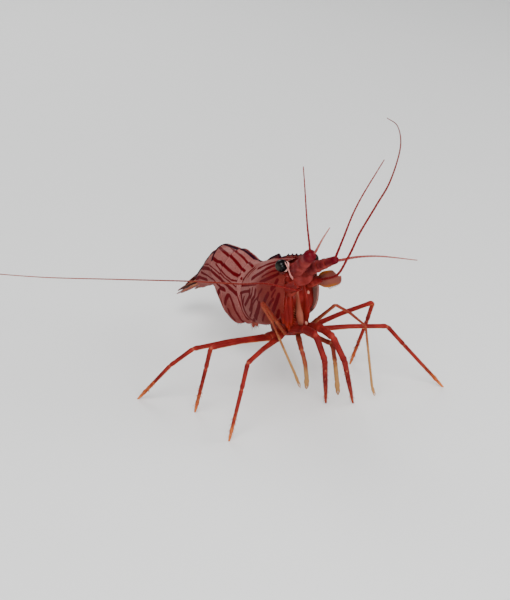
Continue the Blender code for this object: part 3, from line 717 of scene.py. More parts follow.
def blade_finish():
    """A thin leaf: one colour in the middle, one along its edges, one at its tip, and a dark rib."""
    tree, given, made = new_finish("blade_finish", ("Middle", "Edge", "Tip", "Rib"))
    side = maths(tree, "ABSOLUTE", mark(tree, "across"))
    patchy = noise(tree, 700, 4)
    colour = blend(tree, ramp(tree, add(tree, side, patchy, 0.3), 0.65, 1.10), given["Middle"], given["Edge"])
    colour = blend(tree, ramp(tree, add(tree, mark(tree, "along"), patchy, 0.3), 0.70, 1.12), colour,
                   given["Tip"])
    colour = blend(tree, ramp(tree, side, 0.04, 0.14, 0.7, 0.0), colour, given["Rib"])
    grain = noise(tree, 6000, 3)
    finish_outputs(tree, made, colour, ramp(tree, grain, 0.3, 0.7, 0.28, 0.48), add(tree, grain, patchy))
    return tree


def hair_finish():
    """Stiff bristles, glossy as horn, in two colours that change from patch to patch."""
    tree, given, made = new_finish("hair_finish", ("Dark", "Pale"))
    patchy = noise(tree, 2500, 2)
    colour = blend(tree, ramp(tree, patchy, 0.35, 0.65), given["Dark"], given["Pale"])
    finish_outputs(tree, made, colour, ramp(tree, patchy, 0.3, 0.7, 0.35, 0.5), noise(tree, 12000, 1))
    return tree


BLADE_FINISH = blade_finish()
HAIR_FINISH = hair_finish()


def blade_paint(name, middle, edge, tip, rib):
    return paint(name, BLADE_FINISH, {"Middle": middle, "Edge": edge, "Tip": tip, "Rib": rib},
                 Subsurface_Weight=0.15, Subsurface_Radius=(0.0008, 0.0003, 0.0002), Subsurface_Scale=1.0,
                 Specular_IOR_Level=0.0, Coat_Weight=0.08, Coat_Roughness=0.15)[0]


def hair_paint(name, dark, pale):
    return paint(name, HAIR_FINISH, {"Dark": dark, "Pale": pale}, 0.000004, Specular_IOR_Level=0.05)[0]


fan_paint = blade_paint("tail_fan_blades", (0.20, 0.050, 0.045, 1), (0.28, 0.105, 0.055, 1),
                        (0.16, 0.060, 0.055, 1), CRIMSON)
fan_hair = hair_paint("tail_bristles", (0.16, 0.045, 0.040, 1), (0.28, 0.11, 0.09, 1))
fan_face = fan_place(0, 1, 0) - fan_place(0, 0, 0)
make_telson(shell_paint, fan_face)
make_fan_blades(fan_paint, fan_hair, fan_face)


# ------------------------------------------------------------------ soft body under the shell
# The fleshy trunk that carries the legs, and the belly between the tail's side flaps. In life it is bare,
# dark red skin over muscle, seen between the leg bases, under the tail and round the mouth.

CHEST_REAR, CHEST_FRONT = -0.24, 0.93
CHEST_GAP = 0.030                       # between the skin and the carapace
DEEP_RED = (0.13, 0.008, 0.007, 1)
BRIGHT_RED = (0.25, 0.038, 0.034, 1)


def skin_finish():
    """Bare skin or thin shell over muscle: two reds in soft patches, with fine wrinkles and pigment dots."""
    tree, given, made = new_finish("skin_finish", ("Deep", "Bright"))
    patchy = noise(tree, 450, 4)
    colour = blend(tree, ramp(tree, patchy, 0.36, 0.66), given["Deep"], given["Bright"])
    colour = blend(tree, ramp(tree, cell_distance(tree, 4600), 0.10, 0.30, 0.6, 0.0), colour, given["Deep"])
    grain = noise(tree, 5000, 3)
    finish_outputs(tree, made, colour, ramp(tree, grain, 0.3, 0.7, 0.26, 0.46), add(tree, grain, patchy, 2.0))
    return tree


SKIN_FINISH = skin_finish()
SKIN_GLOSS = {
    "Subsurface_Weight": 0.15, "Subsurface_Radius": (0.0004, 0.0001, 0.0001), "Subsurface_Scale": 1.0,
    "Specular_IOR_Level": 0.0, "Coat_Weight": 0.10, "Coat_Roughness": 0.12,
}


def skin_paint(name, deep, bright, wrinkle=0.00003):
    return paint(name, SKIN_FINISH, {"Deep": deep, "Bright": bright}, wrinkle, **SKIN_GLOSS)


def blunt_ends(t, power):
    """Full along the middle, rounded off to almost nothing at both ends."""
    return np.sqrt(np.clip(1 - np.abs(2 * t - 1) ** power, 0.0025, 1))


def make_chest(material):
    a = np.linspace(-math.pi, math.pi, 73)[:-1]
    t = np.linspace(0, 1, 41)[:, None]
    along = CHEST_REAR + (CHEST_FRONT - CHEST_REAR) * t
    half, depth = carapace_size(along)
    ends = blunt_ends(t, 8)
    across, down = hoop(a, (half - CHEST_GAP) * ends, depth - CHEST_GAP - 0.005, CHEST_WAIST)
    middle = -0.45 * depth
    down = middle + (down - middle) * (0.4 + 0.6 * ends)
    trunk = closed_tube(body(along, carapace_top(along) + down, across))
    ends = blunt_ends(t, 5)
    keel = body(0.02 + 0.80 * t, -0.86 + 0.14 * ends * np.cos(a),
                0.150 * ends * np.sign(np.sin(a)) * np.abs(np.sin(a)) ** 0.7)
    make_piece("chest", [trunk, closed_tube(keel)], material, ["breastplate"])


def make_belly(material):
    """One skin through all six tail segments, just inside the plates and arched up between the flaps."""
    a = np.linspace(-math.pi, math.pi, 73)[:-1]
    rings = []
    for k in range(6):
        for t in np.linspace(0, 1, 13)[:None if k == 5 else -1]:
            ring = tail_point(k, np.full(1, t), a)
            middle = ring.mean(axis=0)
            rings.append(middle + (ring - middle) * 0.90)
    make_piece("tail_belly", [closed_tube(np.array(rings)[::-1])], material,
               ["abdomen_%d" % k for k in range(1, 7)])


make_chest(skin_paint("trunk_skin", DEEP_RED, (0.22, 0.016, 0.012, 1))[0])
make_belly(skin_paint("belly_skin", (0.14, 0.012, 0.010, 1), (0.24, 0.040, 0.030, 1))[0])


# ------------------------------------------------------------------ eyes
# Each eye is a glossy black globe of many small lenses on a short movable stalk. The stalk is red, with a
# pale collar where the soft skin meets the globe.

EYE_RADIUS = 0.08
EYE_SPREAD = 0.22                       # how far the globes stand out from the middle line
STALK_THICKNESS = ((0, 0.045), (0.35, 0.042), (0.75, 0.058), (0.92, 0.069), (1, 0.062))


def tube(path, radii, around, broad=None, marks=None, dome=True):
    """A closed limb along a path, with domed ends. Radii are one number or a (broad, narrow) pair a point."""
    path = np.asarray(path, float)
    radii = np.asarray(radii, float)
    if radii.ndim == 1:
        radii = np.stack((radii, radii), axis=1)
    ahead = np.gradient(path, axis=0)
    ahead /= np.linalg.norm(ahead, axis=1, keepdims=True)
    e1 = np.array(broad, float) if broad is not None else np.array(Vector(ahead[0]).orthogonal())
    rings = []
    for centre, d, (wide, thin) in zip(path, ahead, radii):
        e1 = e1 - d * e1.dot(d)
        e1 /= np.linalg.norm(e1)
        rings.append((centre, e1 * wide, np.cross(e1, d) * thin))
    if dome:
        rings = end_dome(rings[0], -ahead[0])[::-1] + rings + end_dome(rings[-1], ahead[-1])
    b = np.linspace(0, math.tau, around, endpoint=False)[:, None]
    grid = np.array([centre + x * np.cos(b) + y * np.sin(b) for centre, x, y in rings])
    below = grid - grid.mean(axis=1, keepdims=True)
    spread = {"under": 0.5 - 0.5 * below[..., 2] / np.maximum(np.linalg.norm(below, axis=2), 1e-6)}
    for name, values in (marks or {}).items():
        values = np.asarray(values, float)
        if dome:
            values = np.concatenate((values[:1].repeat(3), values, values[-1:].repeat(3)))
        spread[name] = values[:, None]
    return closed_tube(grid, spread)


def end_dome(ring, outwards):
    """Three shrinking rings that round off the end of a limb."""
    centre, x, y = ring
    rings = []
    for lift in (25, 50, 75):
        shrink, rise_by = math.cos(math.radians(lift)), math.sin(math.radians(lift))
        rings.append((centre + outwards * rise_by * np.linalg.norm(y), x * shrink, y * shrink))
    return rings


def make_eyes(cornea, stalk_material):
    for side, word in ((1, "left"), (-1, "right")):
        centre, root = body(0.99, -0.078, side * EYE_SPREAD), body(0.955, -0.15, side * 0.03)
        axis = (centre - root) / np.linalg.norm(centre - root)
        swing = np.linspace(0.02, math.pi - 0.02, 48)
        globe = tube(centre - axis * EYE_RADIUS * np.cos(swing)[:, None], EYE_RADIUS * np.sin(swing), 64,
                     marks={"along": (1 - np.cos(swing)) / 2}, dome=False)
        make_piece("eye_globe_" + word, [globe], cornea, ["eye_" + word])
        t = np.linspace(0, 1, 30)
        inside_globe = centre - axis * EYE_RADIUS * 0.62
        stalk = tube(root + (inside_globe - root) * t[:, None], curve_through(STALK_THICKNESS, t), 24,
                     marks={"along": t})
        make_piece("eye_stalk_" + word, [stalk], stalk_material, ["eyestalk_" + word])


def cornea_finish():
    """Black, with a mosaic of tiny facets, and grey-green where the pigment thins outwards."""
    tree, given, made = new_finish("cornea_finish", ("Black", "Green", "Rim"))
    facets = cell_distance(tree, 16000)
    outward = add(tree, mark(tree, "along"), noise(tree, 1500, 2), 0.2)
    outer = ramp(tree, add(tree, outward, mark(tree, "under"), 0.3), 0.98, 1.30)
    colour = blend(tree, outer, given["Black"], given["Green"])
    colour = blend(tree, ramp(tree, mark(tree, "along"), 0.10, 0.22, 0.9, 0.0), colour, given["Rim"])
    finish_outputs(tree, made, colour, ramp(tree, facets, 0.0, 0.6, 0.10, 0.22), facets)
    return tree


cornea_paint = paint("eye_cornea", cornea_finish(),
                     {"Black": (0.002, 0.0015, 0.002, 1), "Green": (0.022, 0.023, 0.016, 1),
                      "Rim": (0.24, 0.10, 0.08, 1)}, 0.000012,
                     Coat_Weight=0.25, Coat_Roughness=0.08, Specular_IOR_Level=0.0)[0]
eye_stalk_paint, tree, shader, colour = skin_paint("eye_stalk", DEEP_RED, BRIGHT_RED)
collar = ramp(tree, mark(tree, "along"), 0.80, 0.92)
tree.links.new(blend(tree, collar, colour, (0.60, 0.30, 0.27, 1)), shader.inputs["Base Color"])
make_eyes(cornea_paint, eye_stalk_paint)


# ------------------------------------------------------------------ face
# The hard front of the head between eyes and mouth: a shield that carries both pairs of feelers, and the
# upper lip below it, a pale brown bulge on the middle line.

LIP_TOP, LIP_FOOT = -0.36, -0.82
LIP_WIDTH = ((LIP_FOOT, 0.032), (-0.74, 0.044), (-0.62, 0.026), (-0.5, 0.022), (-0.42, 0.027),
             (LIP_TOP, 0.028))
# two small knobs at the jaw joints, painted pale: partly pale joint skin, partly painted highlight
GLINT_KNUCKLES = ((0.98, -0.474, 0.078), (0.95, -0.848, -0.020))
LIP, GLINT_KNUCKLE = 1.0, 2.0                 # values of the mark that tells these parts from the red shell


def make_face(material):
    """Shield, brow over it, the lip, a cheek on each side, and two pale knobs at the joints of the jaws
    behind, pale partly as joint skin and partly as a painted highlight.
    """
    sideways = (1, 0, 0)
    t = np.linspace(0, 1, 24)
    rounding = np.sqrt(np.clip(1 - (2 * t - 1) ** 6, 0.01, 1))
    size = rounding * curve_through(((0, 0.9), (0.5, 1.0), (1, 0.8)), t)

    def block(place, half_width, half_height, around):
        return tube(place, np.stack((half_width * size, half_height * size), axis=1), around, sideways)

    shield = block(body(0.78 + 0.36 * t, -0.28, 0.0), 0.165, 0.105, 32)
    brow = block(body(0.80 + 0.27 * t, -0.145 + 0.01 * t, 0.0), 0.120, 0.070, 24)
    down = np.linspace(LIP_TOP, LIP_FOOT, 40)
    swell = curve_through(LIP_WIDTH, down)
    lip = tube(body(0.925 + 0.12 * (down - LIP_TOP), down, -0.055),
               np.stack((swell, 0.045 + 0.3 * swell), axis=1), 20, sideways, {"lip": np.full(40, LIP)})
    parts = [shield, brow, lip]
    for side in (-1, 1):
        parts.append(block(body(0.78 + 0.24 * t, -0.245, side * (0.200 - 0.045 * t)), 0.060, 0.085, 20))
    for along, up, out in GLINT_KNUCKLES:
        parts.append(tube(body(along, up + np.linspace(-0.006, 0.006, 5), out), np.full(5, 0.017), 14,
                          marks={"lip": np.full(5, GLINT_KNUCKLE)}))
    make_piece("face_shield", parts, material, ["face"])


face_paint, tree, shader, colour = skin_paint("face_shell", DEEP_RED, BRIGHT_RED)
lip_skin = blend(tree, noise(tree, 900, 3), (0.28, 0.085, 0.055, 1), (0.20, 0.035, 0.022, 1))
colour = blend(tree, mark(tree, "lip"), colour, lip_skin)
# the knobs' pale colour is partly pale joint skin and partly a painted highlight
colour = blend(tree, ramp(tree, mark(tree, "lip"), 1.2, 1.8), colour, (0.42, 0.17, 0.13, 1))
tree.links.new(colour, shader.inputs["Base Color"])
make_face(face_paint)


# ------------------------------------------------------------------ feelers of the first pair
# A three-jointed stalk on each side under the beak, which carries two whips. The stalk is stiff, hairy
# at its joints, with a thorn-shaped plate at its root; the whips are strings of hundreds of tiny rings.

# radii at five places along each stalk, and where its tip stands
FEELER_STALKS = {
    "left": ((0.085, 0.082, 0.066, 0.056, 0.050), (0.20, -1.51, 2.140)),
    "right": ((0.088, 0.086, 0.074, 0.074, 0.078), (-0.113, -1.445, 2.235)),
}
# the middle line of the left thorn in the carapace's axes, root first, then its width
THORN_LINE = ((1.055, -0.285, 0.127), (1.065, -0.224, 0.151), (1.068, -0.160, 0.168), (1.070, -0.100, 0.182),
              (1.070, -0.042, 0.203))
THORN_WIDTH = ((0, 0.010), (0.20, 0.027), (0.5, 0.017), (0.8, 0.013), (1, 0.004))
FEELER_WHIPS = {
    "left_inner": ((0.190, -1.505, 2.135), (0.215, -1.53, 2.23), (0.33, -1.49, 2.42), (0.47, -1.45, 2.67),
                   (0.61, -1.45, 2.91), (0.88, -1.45, 3.29)),
    "left_outer": ((0.210, -1.520, 2.135), (0.280, -1.545, 2.14), (0.52, -1.52, 2.12), (0.91, -1.45, 2.02),
                   (1.44, -1.45, 1.86)),
    "right_inner": ((-0.118, -1.455, 2.230), (-0.13, -1.47, 2.34), (-0.16, -1.45, 2.65), (-0.20, -1.45, 3.10),
                    (-0.21, -1.42, 3.376)),
    "right_outer": ((-0.100, -1.465, 2.230), (-0.06, -1.485, 2.29), (0.05, -1.46, 2.43), (0.15, -1.45, 2.55)),
}
WHIP_TIP = 0.006
WHIP_RING = 0.064                       # length of one ring of a whip
LIMB_STEP, WHIP_STEP = 0.012, 0.008     # between the sections of a limb and of a whip


def evenly(line, step):
    """The same line in even steps, how far each point lies from the start, and how far the old ones lay."""
    run = np.concatenate(([0], np.cumsum(np.linalg.norm(np.diff(line, axis=0), axis=1))))
    even = np.linspace(0, run[-1], max(8, int(run[-1] / step)))
    return np.stack([np.interp(even, run, line[:, i]) for i in range(3)], axis=1), even, run


def rounded_line(points, corner):
    """Dense points along straight runs with rounded bends, and how far along each given point lies."""
    line = [points[0]]
    for before, here, after in zip(points, points[1:], points[2:]):
        a, b = before - here, after - here
        cut = min(corner, 0.35 * np.linalg.norm(a), 0.35 * np.linalg.norm(b))
        a, b = a / np.linalg.norm(a) * cut, b / np.linalg.norm(b) * cut
        line += [here + a * (1 - s) ** 2 + b * s ** 2 for s in np.linspace(0, 1, 7)]
    line = np.array(line + [points[-1]])
    path, even, run = evenly(line, LIMB_STEP)
    return path, even, [run[np.argmin(np.linalg.norm(line - p, axis=1))] for p in points]


def limb(points, thickness, joints, around=14, corner=0.05, broad=None):
    """A jointed limb: it swells just before each joint and pinches at the soft skin of the joint itself.
    thickness lists a radius for each given point, joints the numbers of the points that are joints."""
    path, run, places = rounded_line([np.asarray(p, float) for p in points], corner)
    radii = np.interp(run, places, thickness)
    soft = np.zeros(len(run))
    for j in joints:
        gap = run - places[j]
        swell = 0.14 * bump(gap, -0.045, 0.028) + 0.07 * bump(gap, 0.035, 0.022)
        radii *= 1 + swell - 0.18 * bump(gap, 0, 0.012)
        soft = np.maximum(soft, bump(gap, 0, 0.014))
    return tube(path, radii, around, broad, {"along": run / run[-1], "joint": soft})


def limb_finish():
    """A jointed limb's shell: one colour above and one along its underside, soft joints, and its own tip."""
    tree, given, made = new_finish("limb_finish", ("Deep", "Bright", "Below", "Joint", "Tip"),
                                   ("Under From", "Tip From"))
    skin = add_node(tree, "ShaderNodeGroup", {"Deep": given["Deep"], "Bright": given["Bright"]},
                    node_tree=SKIN_FINISH).outputs
    patchy = maths(tree, "MULTIPLY", noise(tree, 1400, 3), 0.30)
    low = ramp(tree, add(tree, mark(tree, "under"), patchy), given["Under From"],
               maths(tree, "ADD", given["Under From"], 0.40))
    colour = blend(tree, low, skin["Color"], given["Below"])
    far = ramp(tree, add(tree, mark(tree, "along"), patchy), given["Tip From"],
               maths(tree, "ADD", given["Tip From"], 0.25))
    colour = blend(tree, far, colour, given["Tip"])
    colour = blend(tree, ramp(tree, mark(tree, "joint"), 0.35, 0.95, 0.0, 0.55), colour, given["Joint"])
    finish_outputs(tree, made, colour, skin["Roughness"], skin["Height"])
    return tree


def ring_finish():
    """A string of rings: one colour near the head, another towards the tip, and a line between rings."""
    tree, given, made = new_finish("ring_finish", ("Near", "Far", "Ring"))
    patchy = noise(tree, 1100, 3)
    colour = blend(tree, ramp(tree, add(tree, mark(tree, "along"), patchy, 0.25), 0.15, 0.95), given["Near"],
                   given["Far"])
    gap = maths(tree, "ABSOLUTE", maths(tree, "SUBTRACT", maths(tree, "FRACT", mark(tree, "ring")), 0.5))
    colour = blend(tree, ramp(tree, gap, 0.34, 0.48, 0.0, 0.22), colour, given["Ring"])
    finish_outputs(tree, made, colour, ramp(tree, patchy, 0.3, 0.7, 0.32, 0.5), noise(tree, 9000, 2))
    return tree


LIMB_FINISH = limb_finish()
RING_FINISH = ring_finish()


def limb_paint(name, deep, bright, below, joint, tip, under_from=0.72, tip_from=0.95):
    values = {"Deep": deep, "Bright": bright, "Below": below, "Joint": joint, "Tip": tip,
              "Under From": under_from, "Tip From": tip_from}
    return paint(name, LIMB_FINISH, values, 0.000015, **SKIN_GLOSS)[0]


def whip_paint(name, near, far, ring):
    return paint(name, RING_FINISH, {"Near": near, "Far": far, "Ring": ring}, 0.000006,
                 Specular_IOR_Level=0.05, Subsurface_Weight=0.1, Subsurface_Radius=(0.0005, 0.0002, 0.0002),
                 Subsurface_Scale=1.0)[0]


def make_thorn(side):
    t = np.linspace(0, 1, 24)
    places = np.linspace(0, 1, len(THORN_LINE))
    line = np.array([body(along, up, side * out) for along, up, out in THORN_LINE])
    path = np.stack([curve_through(np.stack((places, values), axis=1), t) for values in line.T], axis=1)
    wide = curve_through(THORN_WIDTH, t)
    return tube(path, np.stack((wide, wide * 0.6), axis=1), 16)


def make_feeler_stalks(material, horn):
    for side, word in ((1, "left"), (-1, "right")):
        thick, tip = FEELER_STALKS[word]
        root = body(1.00, -0.20, side * 0.075)
        points = [root + (np.array(tip) - root) * t for t in (0, 0.25, 0.50, 0.74, 1)]
        stalk = limb(points, thick, (2, 3), 24, broad=(1, 0, 0))
        make_piece("feeler_stalk_" + word, [stalk], material, ["antennule_base_" + word])
        make_piece("feeler_thorn_" + word, [make_thorn(side)], horn, ["antennule_base_" + word])


def ringed_whip(name, points, thick, material, nodes):
    """A tapering string of small rings along a smooth curve through the points."""
    pts = np.array(points, float)
    pts = np.concatenate(([2 * pts[0] - pts[1]], pts, [2 * pts[-1] - pts[-2]]))
    t = np.linspace(0, 1, 12, endpoint=False)[:, None]
    line = []
    for p, q, r, s in zip(pts, pts[1:], pts[2:], pts[3:]):
        square, cube = 2 * p - 5 * q + 4 * r - s, 3 * q - p - 3 * r + s
        line.append(0.5 * (2 * q + (r - p) * t + square * t ** 2 + cube * t ** 3))
    path, even, _ = evenly(np.concatenate(line + [pts[-2:-1]]), WHIP_STEP)
    share = even / even[-1]
    rings = even / WHIP_RING
    radii = (thick + (WHIP_TIP - thick) * share ** 0.7) * (1 + 0.12 * np.abs(np.sin(rings * math.pi)))
    make_piece(name, [tube(path, radii, 8, marks={"along": share, "ring": rings})], material, nodes)


stalk_paint = limb_paint("feeler_stalk", (0.09, 0.008, 0.010, 1), (0.19, 0.028, 0.028, 1),
                         (0.22, 0.036, 0.032, 1), (0.28, 0.03, 0.02, 1), (0.08, 0.001, 0.006, 1))
# the thorn is painted pale pink-white: partly its own pale colour, partly a painted highlight where light
# catches it
pale_thorn_highlight = skin_paint("pale_thorn_highlight", (0.44, 0.16, 0.14, 1), (0.62, 0.36, 0.34, 1), 0.00001)[0]
red_whip = whip_paint("feeler_whip_red", (0.12, 0.003, 0.006, 1), (0.16, 0.012, 0.010, 1),
                      (0.28, 0.05, 0.04, 1))
pink_whip = whip_paint("feeler_whip_pink", (0.20, 0.030, 0.028, 1), (0.30, 0.10, 0.08, 1),
                       (0.38, 0.15, 0.12, 1))
make_feeler_stalks(stalk_paint, pale_thorn_highlight)
for name, points in FEELER_WHIPS.items():
    outer = name.endswith("outer")
    ringed_whip("feeler_whip_" + name, points, 0.019 if outer else 0.016, pink_whip if outer else red_whip,
                ["antennule_" + name])


# ------------------------------------------------------------------ feelers of the second pair
# The long feelers: a stout jointed stalk under the eye, then a whip of rings about five and a half times
# as long as the carapace. Outside each stands the scale, a stiff leaf of chitin with a drawn-out corner.

# root and end of each stalk, in the carapace's axes
LONG_STALKS = {
    "left": ((0.90, -0.36, 0.15), (1.20, -0.345, 0.165)),
    "right": ((0.90, -0.42, -0.15), (1.18, -0.385, -0.165)),
}
LONG_STALK_THICKNESS = (0.066, 0.060, 0.050, 0.034)
# radius at the root, then points along each whip
LONG_WHIPS = {
    "left": (0.017, ((0.165, -1.21, 1.757), (0.17, -1.53, 1.93), (0.20, -1.628, 2.025), (0.25, -1.700, 2.206),
                     (0.36, -1.640, 2.30), (0.56, -1.48, 2.42), (0.92, -1.25, 2.62), (1.33, -0.92, 2.77),
                     (2.0, -0.1, 2.85), (2.6, 0.9, 2.75), (3.0, 1.8, 2.55))),
    "right": (0.011, ((-0.165, -1.22, 1.715), (-0.20, -1.40, 1.79), (-0.33, -1.48, 1.84),
                      (-0.62, -1.27, 1.90), (-0.80, -0.93, 1.79), (-1.20, -0.33, 1.66),
                      (-1.85, 0.69, 1.40), (-2.50, 1.72, 1.14), (-3.15, 2.75, 0.93))),
}
SCALE_ROOT_WIDTH = 0.10
SCALE_WIDTH = ((0.2, 0.185), (0.6, 0.205), (0.85, 0.185), (1.0, 0.15))
SCALE_BREADTH = {"left": 1.0, "right": 0.62}
SCALE_SLANT = 0.05                      # how far the outer corner of the tip stands ahead of its middle


def make_long_stalk(word, material):
    root, end = (body(*place) for place in LONG_STALKS[word])
    base = limb([root + (end - root) * t for t in (0, 0.3, 0.62, 1)], LONG_STALK_THICKNESS, (1, 2), 22)
    make_piece("antenna_stalk_" + word, [base], material, ["antenna_base_" + word])


def make_scale(side, word, material, hair):
    root, tip = body(1.00, -0.365, side * 0.235), body(1.45, -0.335, side * 0.295)
    face = (body(0, 0.1, side) - body(0, 0, 0)) * -side
    stops = [(t, wide * SCALE_BREADTH[word]) for t, wide in SCALE_WIDTH]
    outline = oval([(0.0, SCALE_ROOT_WIDTH)] + stops, 0.13)
    points, faces, marks = leaf(root, tip, face, outline, lambda t: 0.034 - 0.016 * t, rib=0.008)
    slant = marks["along"] ** 2 * marks["across"] * SCALE_SLANT
    points = points + slant[:, None] * leaf_axes(root, tip, face)[0]
    nodes = ["antenna_scale_" + word]
    make_piece("antenna_scale_blade_" + word, [(points, faces, marks)], material, nodes)
    roots, ways = leaf_fringe(root, tip, face, outline, reach=0.050, first=0.35, count=40, sides=(1,))
    bristles("scale_fringe_" + word, roots, ways, 0.005, hair, nodes)


antenna_paint = limb_paint("antenna_stalk", DEEP_RED, (0.20, 0.020, 0.018, 1), (0.22, 0.035, 0.024, 1),
                           (0.26, 0.03, 0.02, 1), (0.14, 0.006, 0.007, 1), 0.80)
dark_whip = whip_paint("antenna_whip_dark", (0.13, 0.006, 0.007, 1), (0.18, 0.022, 0.017, 1),
                       (0.26, 0.05, 0.04, 1))
pale_whip = whip_paint("antenna_whip_pale", (0.11, 0.002, 0.003, 1), (0.28, 0.060, 0.030, 1),
                       (0.30, 0.07, 0.04, 1))
dark_hair = hair_paint("scale_bristles", (0.12, 0.006, 0.005, 1), (0.17, 0.022, 0.014, 1))
brown_scale = blade_paint("antenna_scale_brown", (0.27, 0.085, 0.065, 1), (0.40, 0.13, 0.020, 1),
                          (0.22, 0.070, 0.055, 1), (0.16, 0.012, 0.010, 1))
red_scale = blade_paint("antenna_scale_red", (0.14, 0.003, 0.003, 1), (0.18, 0.010, 0.006, 1),
                        (0.16, 0.012, 0.010, 1), (0.10, 0.001, 0.002, 1))
for word in ("left", "right"):
    make_long_stalk(word, antenna_paint)
for word, whip in (("left", dark_whip), ("right", pale_whip)):
    thick, points = LONG_WHIPS[word]
    ringed_whip("antenna_whip_" + word, points, thick, whip, ["antenna_%s_%d" % (word, k) for k in (1, 2, 3)])
make_scale(1, "left", brown_scale, dark_hair)
make_scale(-1, "right", red_scale, dark_hair)


# ------------------------------------------------------------------ mouthparts
# A packed bundle of flat jaws and foot-jaws hangs on each side of the mouth, deep red and overlapping like
# the leaves of a book. Each leaf is a small curved limb of its own, hinged at the top.

# how far forward, out from the middle, lower end and half width of each leaf
JAW_LEAVES = ((0.02, 0.075, -0.74, 0.052), (0.03, 0.100, -0.84, 0.062), (-0.02, 0.135, -0.86, 0.062),
              (-0.06, 0.100, -0.90, 0.066), (0.05, 0.090, -0.62, 0.046), (-0.04, 0.165, -0.80, 0.050))
JAW_LEAF_WIDTH = ((0, 0.7), (0.3, 0.98), (0.7, 1.0), (0.9, 0.75), (1, 0.4))
JAW_TOP = -0.34
JAW_SHIFT = -0.045                      # both bundles hang a little to the animal's right


def make_mouthparts(material, hair):
    t = np.linspace(0, 1, 34)
    for side, word in ((1, "left"), (-1, "right")):
        made, roots, ways = [], [], []
        for forward, out, low, wide in JAW_LEAVES:
            path = body(0.885 + forward - 0.05 * t - 0.10 * t ** 2, JAW_TOP + (low - JAW_TOP) * t,
                        side * (out + 0.015 * np.sin(math.pi * t)) + JAW_SHIFT)
            width = curve_through(JAW_LEAF_WIDTH, t) * wide
            made.append(tube(path, np.stack((width, width * 0.62), axis=1), 22, (0, 1, 0), {"leaf": t}))
            for n in range(10, 34, 2):
                roots.append(path[n] + np.array((-side * width[n] * 0.85, 0, 0)))
                ways.append((-side * 0.030, -0.012, -0.022))
        nodes = ["mouthparts_" + word]
        make_piece("jaw_bundle_" + word, made, material, nodes)
        bristles("jaw_fringe_" + word, roots, ways, 0.006, hair, nodes)


jaw_paint, tree, shader, colour = skin_paint("jaw_shell", DEEP_RED, (0.18, 0.012, 0.009, 1), 0.00004)
leaf_end = ramp(tree, mark(tree, "leaf"), 0.80, 1.0, 0.0, 0.6)
tree.links.new(blend(tree, leaf_end, colour, (0.24, 0.020, 0.010, 1)), shader.inputs["Base Color"])
brush_hair = hair_paint("brush_bristles", (0.30, 0.030, 0.015, 1), (0.50, 0.16, 0.07, 1))
make_mouthparts(jaw_paint, brush_hair)


# ------------------------------------------------------------------ long mouth legs
# The last pair of mouthparts is grown into legs: three long joints each, dark red, thick, and brushed with
# stiff hairs on the last joint. Here they are set down in front like a pair of legs.

# knee, shin and foot of each
MOUTH_LEGS = {
    "right": ((-0.129, -1.661, 1.264), (0.03, -1.62, 0.85), (0.263, -1.281, 0)),
    "left": ((0.084, -1.711, 1.209), (0.26, -1.715, 0.83), (0.576, -1.44, 0)),
}
MOUTH_LEG_THICKNESS = (0.050, 0.050, 0.046, 0.041, 0.037, 0.029, 0.013)


def to_floor(part):
    """A foot's underside is flat where it stands."""
    points, faces, marks = part
    points[:, 2] = np.maximum(points[:, 2], 0.0)
    return points, faces, marks


def brush(path_from, path_to, thick, count, reach, spread, seed):
    """Bristles all round a straight joint, leaning towards its tip."""
    random = np.random.default_rng(seed)
    axis = (path_to - path_from) / np.linalg.norm(path_to - path_from)
    e1 = np.cross(axis, (0.3, 1.0, 0.2))
    e1 /= np.linalg.norm(e1)
    e2 = np.cross(axis, e1)
    roots, ways = [], []
    for share, angle, stretch in random.random((count, 3)):
        out = e1 * math.cos(angle * math.tau) + e2 * math.sin(angle * math.tau)
        radius = thick[0] + (thick[1] - thick[0]) * share
        roots.append(path_from + (path_to - path_from) * share + out * radius * 0.9)
        ways.append((out * spread + axis) * reach * (0.6 + 0.6 * stretch))
    return roots, ways


def make_mouth_legs(material, hair):
    for word, bends in MOUTH_LEGS.items():
        hip = body(0.80, -0.91, 0.11 if word == "left" else -0.11)
        knee, shin, foot = np.array(bends)
        mid = (hip + knee) / 2 + np.array((0, 0, 0.04))
        ankle = shin + (foot - shin) * 0.6
        roots, ways = brush(shin, shin + (foot - shin) * 0.93, (0.036, 0.016), count=110, reach=0.030,
                            spread=0.7, seed=4)
        bristles("foot_jaw_brush_" + word, roots, ways, 0.006, hair,
                 ["mouth_leg_%s_lower" % word])
        points = (hip, mid, mid + (knee - mid) * 0.6, knee, shin, ankle, foot)
        leg = limb(points, MOUTH_LEG_THICKNESS, (1, 3, 4), 18)
        make_piece("foot_jaw_" + word, [to_floor(leg)], material,
                   ["mouth_leg_%s_upper" % word, "mouth_leg_%s_lower" % word])


foot_jaw_paint = limb_paint("foot_jaw", (0.12, 0.008, 0.008, 1), (0.20, 0.016, 0.013, 1),
                            (0.36, 0.06, 0.020, 1), (0.26, 0.03, 0.02, 1), (0.24, 0.03, 0.015, 1), 0.84)
make_mouth_legs(foot_jaw_paint, brush_hair)


# ------------------------------------------------------------------ claw legs
# Two slender pairs in front. The first is short with a small stout claw; the second is long and thin, its
# forearm divided into two dozen rings so that it bends like a whip, with a tiny claw.

